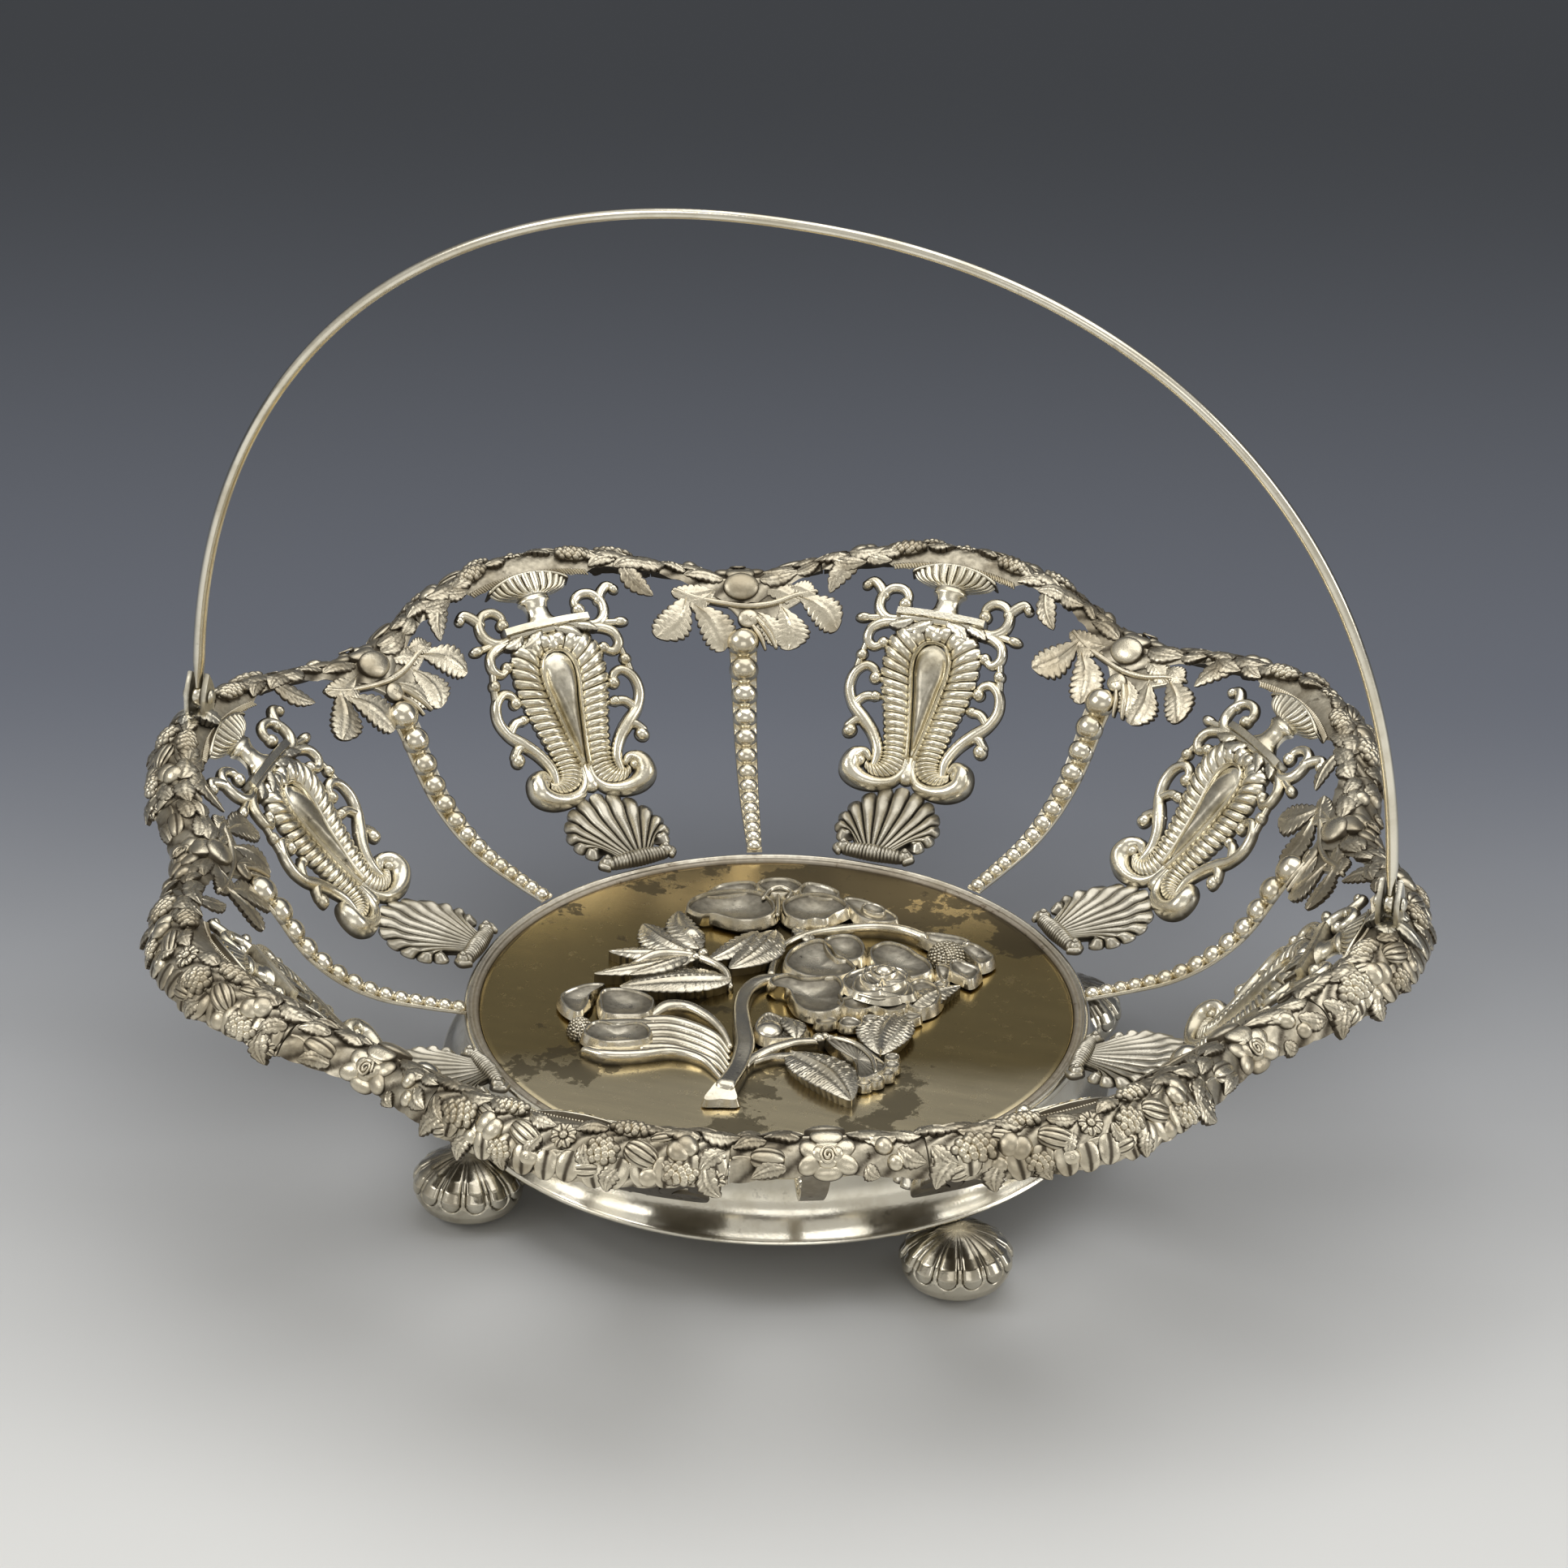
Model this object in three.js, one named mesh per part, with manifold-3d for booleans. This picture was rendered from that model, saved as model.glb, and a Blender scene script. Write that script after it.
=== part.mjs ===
// Swing-handle basket on four bun feet. Lengths in millimetres, +Z up, ground at z = 0.
// The handle swings about the X axis line through its two hinge lugs.
import * as THREE from 'three';
import Module from 'manifold-3d';

const wasm = await Module();
wasm.setup();

// Driving dimensions (mm).
const lobes = 8; // urn panels, shells, fruit lobes; as many bead strips and roses between them
const plateRadius = 67.5; // gilt floor plate
const ringWidth = 3.5; // silver ring round the plate
const ringTop = 30.9; // height of the ring above the ground
const footHeight = 14.6; // ground to the underside of the drum flange
const footRadius = 12.75;
const wallFlare = 68.6; // ring edge out to the crest of a fruit lobe
const wallRise = 48.5; // ring top up to the crest of a fruit lobe
const handleRise = 139.3; // hinge pin up to the top of the bail
const wireRadius = 1.3; // bail wire at the top
const pinRadius = 0.8; // hinge pin
const sprayHeight = 4.2; // relief of the flower spray on the plate
const sprayTurn = 17.7; // degrees the spray is turned from the X axis
const footTurn = 48.6; // degrees from the X axis to the first foot

// Clearances and thicknesses (mm).
const gap = 0.3; // between pieces soldered side by side
const pinGap = 0.2; // pin in its holes
const sheet = 1.2; // drum, ring and rim metal
const panelBack = 0.6; // panel thickness behind its middle surface

// Derived sizes.
const ringRadius = plateRadius + ringWidth;
const crestRadius = ringRadius + wallFlare;
const crestTop = ringTop + wallRise;
const pitch = (2 * Math.PI) / lobes;
// The ornament is drawn for a ring of 71 mm and a wall that flares by 68.6 mm.
const across = ringRadius / 71; // its scale round the bowl
const outward = wallFlare / 68.6; // its scale across the rim and off the wall
const back = panelBack / outward; // panel back in the ornament's own millimetres
const hingeX = crestRadius;
const hingeZ = crestTop + 5.4 * outward;

const rad = (degrees) => (degrees * Math.PI) / 180;
const lerp = (a, b, t) => a + (b - a) * t;
const roundSteps = 36; // facets round the drum, the ring and the plate

// Triangles that close a ring of points, in the order of the ring.
function cap(ring) {
  const normal = new THREE.Vector3();
  ring.forEach((p, i) => (
    normal.add(new THREE.Vector3().crossVectors(p, ring[(i + 1) % ring.length]))));
  normal.normalize();
  const x = ring[1].clone().sub(ring[0]).projectOnPlane(normal).normalize();
  const y = new THREE.Vector3().crossVectors(normal, x);
  const flat = ring.map((p) => new THREE.Vector2(p.dot(x), p.dot(y)));
  return THREE.ShapeUtils.triangulateShape(flat.slice(), []).map(([a, b, c]) => {
    const turn = flat[b].clone().sub(flat[a]).cross(flat[c].clone().sub(flat[a]));
    return turn > 0 ? [a, b, c] : [a, c, b];
  });
}

// Solids from rings of points; a ring is one closed section, the ends are capped.
function loft(rings) {
  const m = rings[0].length;
  const points = rings.flat();
  const tri = [];
  for (let i = 0; i + 1 < rings.length; i++) {
    for (let j = 0; j < m; j++) {
      const a = i * m + j;
      const b = i * m + ((j + 1) % m);
      tri.push(a, b, a + m, b, b + m, a + m);
    }
  }
  const last = points.length - m;
  for (const [a, b, c] of cap(rings[0])) tri.push(a, c, b);
  for (const [a, b, c] of cap(rings.at(-1))) tri.push(last + a, last + b, last + c);
  return solid(points, tri);
}

function solid(points, tri) {
  let volume = 0;
  for (let i = 0; i < tri.length; i += 3) {
    const [a, b, c] = [points[tri[i]], points[tri[i + 1]], points[tri[i + 2]]];
    volume += a.dot(new THREE.Vector3().crossVectors(b, c));
  }
  const order = volume > 0 ? tri : tri.toReversed();
  return new wasm.Manifold(new wasm.Mesh({
    numProp: 3,
    vertProperties: Float32Array.from(points.flatMap((p) => [p.x, p.y, p.z])),
    triVerts: Uint32Array.from(order),
  }));
}

// Solid of revolution about Z from a closed [radius, height] outline.
function turned(outline, steps) {
  const m = outline.length;
  const points = [];
  const tri = [];
  for (let i = 0; i < steps; i++) {
    const angle = (i * 2 * Math.PI) / steps;
    for (const [r, z] of outline) points.push(at(r, angle, z));
    for (let j = 0; j < m; j++) {
      const [a, b] = [i * m + j, i * m + ((j + 1) % m)];
      const [c, d] = [((i + 1) % steps) * m + j, ((i + 1) % steps) * m + ((j + 1) % m)];
      tri.push(a, b, c, b, d, c);
    }
  }
  return solid(points, tri);
}

const at = (r, angle, z) => new THREE.Vector3(r * Math.cos(angle), r * Math.sin(angle), z);
const union = (...bodies) => wasm.Manifold.union(bodies.flat(4));

// Smooth run through control points of two or three numbers, in equal steps.
function through(points, steps, closed = false) {
  const list = points.map((p) => new THREE.Vector3(p[0], p[1], p[2] ?? 0));
  const curve = new THREE.CatmullRomCurve3(list, closed, 'centripetal');
  return curve.getPoints(steps);
}

// Wall line as [out, up] fractions of flare and rise; gives points by length along it.
function wallLine(fractions) {
  const list = fractions.map(([f, g]) => [ringRadius + wallFlare * f, ringTop + wallRise * g]);
  const curve = new THREE.CatmullRomCurve3(
    list.map(([r, z]) => new THREE.Vector3(r, z, 0)), false, 'centripetal');
  curve.arcLengthDivisions = 400;
  const length = curve.getLength();
  // u runs sideways, v up the wall, w stands off the middle surface into the bowl
  const place = (u, v, w) => {
    const t = Math.min(Math.max(v / length, 0), 1);
    const p = curve.getPointAt(t);
    const d = curve.getTangentAt(t);
    const over = v - t * length;
    const r = p.x + d.x * over - d.y * w;
    return at(r, -u / (p.x + d.x * over), p.y + d.y * over + d.x * w);
  };
  return { place, length };
}

// Strip with a ridged or flat top along [u, v, half width] points; flat is the share of the
// width that stays level.
function scroll(place, path, steps, top, flat = 0, bottom = -back) {
  const run = through(path, steps);
  return loft(run.map((p, i) => {
    const [a, b] = [run[Math.max(i - 1, 0)], run[Math.min(i + 1, steps)]];
    const d = new THREE.Vector2(b.x - a.x, b.y - a.y).normalize();
    const side = (k, w) => place(p.x - d.y * k * p.z, p.y + d.x * k * p.z, w);
    const upper = flat ? [side(flat, top), side(-flat, top)] : [side(0, top)];
    return [side(-1, bottom), side(1, bottom), ...upper];
  }));
}

// Small round stud: a low faceted dome with its foot on the given level.
function stud(place, u, v, radius, top = radius * 1.1, bottom = -back, sides = 5) {
  const ring = (k, w) => Array.from({ length: sides }, (_, i) => {
    const angle = ((i + 0.5) * 2 * Math.PI) / sides;
    return place(u + radius * k * Math.cos(angle), v + radius * k * Math.sin(angle), w);
  });
  return loft([ring(1, bottom), ring(0.55, top)]);
}

// Both mirror halves of a part drawn on the positive u side.
const pair = (make) => [1, -1].map((s) => make((u) => s * u));

// The assembly.
const basket = new THREE.Group();
basket.name = 'swing_handle_basket';

function material(color, roughness, metalness = 1) {
  return new THREE.MeshStandardMaterial({ color, roughness, metalness });
}

function add(name, body, finish) {
  const mesh = body.simplify(0.2).getMesh();
  const geometry = new THREE.BufferGeometry();
  geometry.setAttribute('position', new THREE.BufferAttribute(mesh.vertProperties, 3));
  geometry.setIndex(new THREE.BufferAttribute(mesh.triVerts, 1));
  geometry.computeVertexNormals();
  const node = new THREE.Mesh(geometry, finish());
  node.name = name;
  basket.add(node);
}

function addRound(name, count, first, body, finish) {
  for (let k = 0; k < count; k++) {
    add(`${name}_${k + 1}`, body.rotate([0, 0, first + (k * 360) / count]), finish);
  }
}

const silver = () => material(0xcdc8ba, 0.32);
const oldSilver = () => material(0xb9b2a0, 0.42);
const polished = () => material(0xd6d2c8, 0.2);
const gilt = () => material(0x9a8452, 0.3);

// Bun foot: gadrooned dome over a plain round belly, with a small flat to stand on.
const footLobes = 12;
const footOutline = [[0.4, 0], [0.88, 0.2], [1, 0.5], [0.84, 0.82], [0.4, 1]];
const footRings = footOutline.map(([k, h], row) => {
  const ring = [];
  for (let i = 0; i < footLobes * 2; i++) {
    const flute = row > 1 && row < 4 && i % 2 ? [1, 0.97, 0.9, 0.9][row] : 1;
    ring.push(at(footRadius * k * flute, (i * Math.PI) / footLobes, footHeight * h));
  }
  return ring;
});
const footCircle = ringRadius + 8;
addRound('bun_foot', 4, footTurn, loft(footRings).translate([footCircle, 0, 0]), silver);

// Base drum: hollow, with a concave wall spreading to a turned-in flange the feet are fixed to.
const shelf = ringTop - 2.6;
const flange = footCircle - 2.9;
const curveIn = (t) => lerp(flange - 0.5, ringRadius - 1.2, Math.sin((t * Math.PI) / 2));
const wallSteps = 2;
const drumOutline = [[flange - 10, footHeight], [flange, footHeight], [flange, footHeight + sheet]];
for (let i = 1; i <= wallSteps; i++) {
  const t = i / wallSteps;
  drumOutline.push([curveIn(t), lerp(footHeight + sheet, shelf, t)]);
}
drumOutline.push([ringRadius - 11, shelf], [ringRadius - 11, shelf - sheet]);
for (let i = wallSteps; i >= 1; i--) {
  const t = i / wallSteps;
  drumOutline.push([curveIn(t) - sheet, lerp(footHeight + sheet, shelf - sheet, t)]);
}
drumOutline.push([flange - 10, footHeight + sheet]);
add('base_drum', turned(drumOutline, roundSteps), polished);

// Plate ring with a rounded outer edge, lying on the drum shelf round the gilt plate.
const plateEdge = plateRadius - gap;
add('plate_ring', turned([
  [plateRadius, shelf], [ringRadius - 0.5, shelf], [ringRadius, shelf + 0.8],
  [ringRadius - 0.2, ringTop - 0.5], [ringRadius - 1, ringTop], [plateRadius, ringTop - 0.3],
], roundSteps), oldSilver);

// Gilt floor plate, a plain flat disc inside the ring.
const plateTop = ringTop - 0.7;
add('gilt_plate', loft([[plateEdge, shelf], [plateEdge, plateTop]].map(([r, z]) => (
  Array.from({ length: roundSteps }, (_, i) => at(r, (i * 2 * Math.PI) / roundSteps, z))
))), gilt);

// Wall lines: up the middle of an urn panel, and up a bead strip. They start just clear of the
// ring top.
const start = (gap + panelBack) / wallRise;
const urnWall = wallLine([
  [0, start], [0.155, 0.04], [0.32, 0.1], [0.455, 0.25], [0.58, 0.446],
  [0.714, 0.7], [0.777, 0.765], [0.859, 0.856], [0.96, 0.94],
]);
const beadWall = wallLine([
  [-0.01, start], [0.124, 0.055], [0.27, 0.108], [0.388, 0.195], [0.487, 0.316],
  [0.538, 0.41], [0.631, 0.627], [0.69, 0.71],
]);
const rise = urnWall.length / 83; // ornament scale up the wall
const onWall = (u, v, w) => urnWall.place(u * across, v * rise, w * outward);

// Scallop shell: fan of rounded flutes from a ribbed roll that sits on the plate ring.
const flutes = 13;
const fanHalf = rad(124); // turn of the outermost flutes from the middle one
const fanCentre = 13.3;
const ridgeReach = 12.4;
const valleyReach = 11.6;
const rootHalf = 4.7; // half width of the fan where it leaves the roll
const shellRows = [0, 0.6, 1];
const shellSections = [];
for (let i = 0; i < flutes * 2 + 1; i++) {
  const k = (i - 1) / 2;
  const turn = (k / (flutes - 1)) * 2 - 1;
  const ridge = i % 2 === 1;
  const reach = ridge ? ridgeReach : valleyReach;
  const tip = [reach * Math.sin(fanHalf * turn), fanCentre + reach * Math.cos(fanHalf * turn)];
  const surface = (row, w) => onWall(lerp(rootHalf * turn, tip[0], row),
    lerp(3, tip[1], row) + 8 * turn * turn * row * (1 - row), w);
  const swell = (row) => (ridge ? 0.6 + 1.4 * Math.sin(Math.PI * (0.2 + 0.7 * row)) : 0.3);
  shellSections.push([
    ...shellRows.map((row) => surface(row, swell(row))),
    ...shellRows.toReversed().map((row) => surface(row, -back)),
  ]);
}
const roll = scroll(onWall, [[-6.2, 1.4, 1.9], [0, 1.2, 2.3], [6.2, 1.4, 1.9]], 2, 3, 0.6, -0.5);
const curls = pair((m) => stud(onWall, m(7.4), 2.3, 1.7));
addRound('scallop_shell', lobes, 0, union(loft(shellSections), roll, curls), silver);

// Urn panel: openwork casting soldered between a shell and a fruit lobe of the rim.
const bodyRows = [
  // v, half width, ridge height, teardrop half width and height
  [26.6, 3.2, 0.8, 0.4, 0.5], [31, 5.2, 1.6, 0.6, 0.8], [37, 7.1, 2, 1, 1.3],
  [44, 9.4, 2.2, 2, 2], [51, 11.2, 2.3, 3.4, 2.7], [57, 11.8, 2.3, 3.8, 2.8],
  [61, 11, 2, 1.8, 1.5], [66.8, 10.4, 1.2, 1, 1.2],
];
const urnBody = loft(bodyRows.map(([v, half, ridge, drop, bulge]) => {
  const line = (u, w) => onWall(u, v, w);
  const valley = drop + 0.5;
  return [
    line(half, -back), line((half + valley) / 2, ridge), line(valley, 0.3), line(0, bulge),
    line(-valley, 0.3), line(-(half + valley) / 2, ridge), line(-half, -back),
  ];
}));
const shoulder = loft([[-10.7, 2.2], [0, 2.6], [10.7, 2.2]].map(([u, w]) => [
  onWall(u, 66.3, -back), onWall(u, 69, -back), onWall(u, 69, w), onWall(u, 66.3, w),
]));
const cupRows = [
  [68, 4.6, 1.6], [70.2, 3.1, 2.2], [72.6, 2.6, 2.2], [75, 3.8, 2.9], [76.2, 3.7, 2.6],
  [77.6, 7, 3.2], [80.1, 9.6, 3.2],
];
const urnCup = loft(cupRows.map(([v, half, w]) => [
  onWall(half, v, -0.5), onWall(half * 0.6, v, w), onWall(-half * 0.6, v, w),
  onWall(-half, v, -0.5),
]));
const sideScrolls = pair((m) => {
  const run = (steps, top, path) => (
    scroll(onWall, path.map(([u, v, h]) => [m(u), v, h]), steps, top, 0, -0.45));
  return [
    // horn foot rolling outwards into a volute
    run(5, 2.6, [[3.8, 29.4, 1.8], [5, 27.2, 1.9], [9.4, 26.4, 2], [13.6, 28.8, 2.1],
      [13.4, 33, 1.9], [10.4, 33.4, 1]]),
    // outer line: middle scroll, linking bead and long lower scroll down into the volute
    run(10, 1.5, [[9.6, 66.4, 1], [14.4, 65.6, 1], [16.9, 61.6, 1], [17.2, 57.4, 1.6],
      [17.8, 55, 1], [18.7, 50.6, 1.2], [17.6, 46.4, 1.2], [13, 40.8, 1.5], [9.2, 36, 1.3],
      [8.8, 29.4, 0.9]]),
    // hook curling in beside the body, and the off-shoot outside
    run(4, 1.3, [[18.2, 53.2, 0.9], [16.2, 55.4, 0.9], [14, 54.4, 0.9], [13.2, 52.2, 1.5],
      [13.6, 50.6, 0.8]]),
    run(2, 1.2, [[13.6, 41.4, 1.2], [16.2, 40, 1.5], [16, 37.2, 1]]),
    // upper scroll from the shoulder, hooking in beside the neck, with a curled tip outside
    run(6, 1.4, [[9.6, 67.4, 1], [13.6, 66.8, 1.1], [16.4, 70, 1.1], [15.2, 74, 1.1],
      [11, 74.6, 1], [10, 71.6, 1.5], [10.8, 70.4, 0.8]]),
    run(2, 1.2, [[16.2, 71.6, 0.9], [18.4, 74, 1.4], [19.8, 73, 0.7]]),
  ];
});
addRound('urn_panel', lobes, 0, union(urnBody, shoulder, urnCup, sideScrolls), silver);

// Bead strip: tapering strip with a row of graduated half-round beads. Only the proportions of
// the beads are given; the row is scaled to fill the strip.
const beads = 14;
const stripFoot = 1.9; // half width at the ring
const stripHead = 3.8; // half width at the rose
const beadSize = (k) => 3 + 3.3 * (k / (beads - 1)) ** 2.2;
const beadTotal = Array.from({ length: beads }, (_, k) => beadSize(k)).reduce((a, b) => a + b);
const beadScale = beadWall.length / beadTotal;
const stripRings = [];
let run = 0;
for (let k = 0; k < beads; k++) {
  const size = beadSize(k) * beadScale;
  for (const [step, height] of [[0, 0.3], [0.5, 1], [1, 0.3]]) {
    if (step === 1 && k < beads - 1) continue;
    const v = run + size * step;
    const half = lerp(stripFoot, stripHead, v / beadWall.length) * across;
    const bead = size * 0.42 * height;
    const line = (u, w) => beadWall.place(u, v, w);
    stripRings.push([
      line(half, -panelBack), line(bead * 0.6, 0.3 + bead), line(-bead * 0.6, 0.3 + bead),
      line(-half, -panelBack),
    ]);
  }
  run += size;
}
addRound('bead_strip', lobes, 180 / lobes, loft(stripRings), silver);

// Rim: a hollow half-round moulding following the lobes, cut into fruit and rose sections. The
// sections run from the inner edge over the crest to the outer edge, at a lobe and at a dip.
const lobeSection = [[-5.2, -2.6], [-2.8, -0.8], [0, 0], [3.2, -1.2], [6.4, -4.4], [9.2, -9.4]];
const dipSection = [[-6.6, -3.8], [-3.3, -1.1], [0, 0], [2.4, -0.5], [4.8, -2], [7, -5]];
const lobeCrest = [crestRadius, crestTop];
const dipCrest = [ringRadius + 0.8367 * wallFlare, ringTop + 0.8825 * wallRise];
function rimPoint(angle, t, lift) {
  const b = (0.5 + 0.5 * Math.cos(lobes * angle)) ** 0.75;
  const i = Math.min(Math.floor(t), 4);
  const mix = (k) => [0, 1].map((n) => lerp(dipCrest[n] + dipSection[k][n] * outward,
    lobeCrest[n] + lobeSection[k][n] * outward, b));
  const [p, q] = [mix(i), mix(i + 1)];
  const d = new THREE.Vector2(q[0] - p[0], q[1] - p[1]).normalize();
  const [r, z] = [lerp(p[0], q[0], t - i), lerp(p[1], q[1], t - i)];
  return at(r - d.y * lift, angle, z + d.x * lift);
}

// Channel from one angle to another; relief(u, t) gives the lift of its outer face.
function channel(from, to, steps, relief, reach) {
  const rings = [];
  for (let i = 0; i <= steps; i++) {
    const angle = lerp(from, to, i / steps);
    const u = ((angle - (from + to) / 2) * crestRadius) / outward;
    const edge = 4.6 + reach(i);
    rings.push([
      ...[0, 1, 2, 3, 4, edge].map((t) => rimPoint(angle, t, relief(u, t) * outward)),
      ...[edge, 2.4, 0].map((t) => rimPoint(angle, t, -sheet)),
    ]);
  }
  return loft(rings);
}

const roseHalf = rad(8.6) * (8 / lobes);
const seam = (gap / crestRadius) * 0.5;
const fruits = [
  // place along the rim, place across it, half length
  [-25, 2.6, 4.5], [-17, 3.4, 5], [-9, 2.4, 4], [9, 3.2, 5], [17, 2.2, 4.5], [25, 3.4, 4],
];
const fruitHeight = 1.7;
const fruitRelief = (u, t) => {
  if (t < 1.5 || Math.abs(u) < 4) return 0;
  const bump = ([middle, side, size]) => (
    Math.max(0, 1 - ((u - middle) / size) ** 2 - ((t - side) * 0.7) ** 2));
  return fruitHeight * Math.max(...fruits.map(bump));
};
const fruitGarland = channel(-pitch / 2 + roseHalf + seam, pitch / 2 - roseHalf - seam, 16,
  fruitRelief, (i) => (i % 2 ? 0.4 : 0.1));
addRound('fruit_garland', lobes, 0, fruitGarland, silver);

// Rose spray: the dip of the rim, an open rose, and serrated leaves hanging into the bowl.
const dipWall = wallLine([[0.538, 0.41], [0.631, 0.627], [0.7, 0.72], [0.79, 0.84], [0.84, 0.89]]);
const hang = (u, v, w) => dipWall.place(u * across, dipWall.length + v * rise, w * outward);
function leaf(place, base, tip, half, top, bottom) {
  const d = new THREE.Vector2(tip[0] - base[0], tip[1] - base[1]);
  const side = new THREE.Vector2(-d.y, d.x).normalize();
  const rows = [[0, 0.25], [0.28, 0.95], [0.6, 0.9], [1, 0.08]];
  return loft(rows.map(([t, k]) => {
    const p = (s, w) => place(base[0] + d.x * t + side.x * half * k * s,
      base[1] + d.y * t + side.y * half * k * s, w);
    return [p(1, bottom), p(0, top), p(-1, bottom)];
  }));
}
const roseRelief = (u, t) => (t > 1.5 ? Math.max(0, 1.6 - Math.abs(u) / 8) : 0);
const roseBand = channel(pitch / 2 - roseHalf + seam, pitch / 2 + roseHalf - seam, 6, roseRelief,
  (i) => (i % 2 ? 0.4 : 0)).rotate([0, 0, -180 / lobes]);
const petal = (u, v, radius, top) => stud(hang, u, v, radius, top, -0.5);
const rose = [
  petal(0, -3, 6, 4.2), petal(0.4, -9.4, 2.6, 2.8),
];
const leaves = [
  // base, tip, half width, height
  [[-11.4, -2], [-21.5, -13.5], 3.8, 1.5], [[-9.4, -4.6], [-6.6, -18.5], 3.4, 1.5],
  [[4.4, -7], [6.6, -17.6], 1.9, 1.4], [[9.6, -5], [12.4, -18], 3.2, 1.5],
  [[12.6, -2], [22, -12.5], 3.6, 1.5],
].map(([base, tip, half, top]) => leaf(hang, base, tip, half, top, -0.5));
addRound('rose_spray', lobes, 180 / lobes, union(roseBand, rose, leaves), silver);

// Hinge lug: leafy saddle on the crest of a lobe carrying two upright ears.
const eyeHalf = 1.1; // half thickness of the flattened wire end
const earGap = eyeHalf + 0.35;
const earThick = 1.2;
const disc = (radius, x0, x1, z, sides = 12) => loft([x0, x1].map((x) => (
  Array.from({ length: sides }, (_, i) => {
    const angle = (i * 2 * Math.PI) / sides;
    return new THREE.Vector3(x, radius * Math.sin(angle), z + radius * Math.cos(angle));
  })
)));
const earFoot = crestTop + 2 * gap;
const earLine = [
  [-2.3, earFoot], [-2.9, hingeZ - 1], [-2.5, hingeZ + 1.5], [-1, hingeZ + 3.6],
  [1, hingeZ + 3.6], [2.5, hingeZ + 1.5], [2.9, hingeZ - 1], [2.3, earFoot],
];
const ear = (x0, x1) => loft([x0, x1].map((x) => (
  earLine.map(([y, z]) => new THREE.Vector3(x, y, z)))));
const saddleThick = 1.4;
const saddleLine = [
  // place across the rim, half width
  [0.5, 1.4], [1.1, 2.4], [1.7, 2.7], [2.3, 2.7], [3, 2.5], [3.7, 1.8], [4.3, 0.8],
];
const saddle = loft(saddleLine.map(([t, half]) => [1, -1, -0.6, 0.6].map((k, n) => {
  const p = rimPoint(0, t, n < 2 ? 2 * gap : 2 * gap + saddleThick);
  return new THREE.Vector3(p.x, half * k, p.z);
})));
const pinHole = disc(pinRadius + pinGap, hingeX - 8, hingeX + 8, hingeZ);
const lug = union(saddle, ear(hingeX - earGap - earThick, hingeX - earGap),
  ear(hingeX + earGap, hingeX + earGap + earThick)).subtract(pinHole);
const pinEnd = earGap + earThick + 0.15;
const headRadius = 1.7;
const headThick = 0.9;
const pin = union(disc(pinRadius, hingeX - pinEnd - 0.5, hingeX + pinEnd + 0.5, hingeZ, 8),
  disc(headRadius, hingeX - pinEnd - headThick, hingeX - pinEnd, hingeZ, 8),
  disc(headRadius, hingeX + pinEnd, hingeX + pinEnd + headThick, hingeZ, 8));
for (const [side, turn] of [['right', 0], ['left', 180]]) {
  add(`hinge_lug_${side}`, lug.rotate([0, 0, turn]), oldSilver);
  add(`hinge_pin_${side}`, pin.rotate([0, 0, turn]), oldSilver);
}

// Bail handle: one wire bent to a near-round arch, thicker at its ends, which are flattened
// into eyes for the pins.
const squareness = 2.2; // 2 is an ellipse; a little more makes the shoulders fuller
const bend = (value) => Math.sign(value) * Math.abs(value) ** (2 / squareness);
const arch = (phi) => (
  new THREE.Vector3(hingeX * bend(Math.cos(phi)), 0, hingeZ + handleRise * bend(Math.sin(phi))));
const eyeRadius = 2.4;
const wireSteps = 26;
const wire = [];
for (let i = 0; i <= wireSteps; i++) {
  const end = rad(0.3);
  const t = i / wireSteps;
  const phi = lerp(end, Math.PI - end, t - 0.05 * Math.sin(4 * Math.PI * t));
  const p = arch(phi);
  const d = arch(phi + 0.01).sub(arch(phi - 0.01)).normalize();
  const side = new THREE.Vector3(d.z, 0, -d.x);
  const stretch = Math.min(1, Math.max(0, (p.z - hingeZ - 5) / 4));
  const wide = wireRadius * lerp(1.25, 1, Math.sin(phi));
  wire.push(Array.from({ length: 8 }, (_, k) => {
    const angle = (k * Math.PI) / 4 + Math.PI / 8;
    const flat = lerp(eyeHalf, wide, stretch);
    return p.clone().addScaledVector(side, flat * Math.cos(angle))
      .add(new THREE.Vector3(0, wide * Math.sin(angle), 0));
  }));
}
const eyes = [hingeX, -hingeX].map((x) => disc(eyeRadius, x - eyeHalf, x + eyeHalf, hingeZ));
const eyeHoles = [hingeX, -hingeX].map((x) => disc(pinRadius + pinGap, x - 4, x + 4, hingeZ));
add('bail_handle', union(loft(wire), eyes).subtract(union(eyeHoles)), polished);

// Flower spray cast in high relief and fixed to the plate. Outlines are drawn looking down
// on the plate, then turned by sprayTurn.
const onPlate = (x, y, z) => new THREE.Vector3(x * across, y * across, plateTop + z);
function blade(path, steps, top) {
  return scroll(onPlate, path, steps, top, 0.6, 0);
}
function casting(outline, top) {
  const points = through(outline, Math.round(outline.length * 1.25), true).slice(0, -1);
  const middle = new THREE.Vector3();
  for (const p of points) middle.addScaledVector(p, 1 / points.length);
  const ring = (inset, z) => points.map((p) => {
    const q = p.clone().lerp(middle, inset);
    return onPlate(q.x, q.y, z);
  });
  return loft([ring(0, 0), ring(0.06, top)]);
}
const dome = (x, y, radius, top, bottom = 0) => stud(onPlate, x, y, radius, top, bottom, 7);
const frond = (base, tip, half, top) => leaf(onPlate, base, tip, half, top, 0);
const high = sprayHeight;
const addSpray = (name, ...bodies) => add(name, union(bodies).rotate([0, 0, sprayTurn]), oldSilver);

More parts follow.
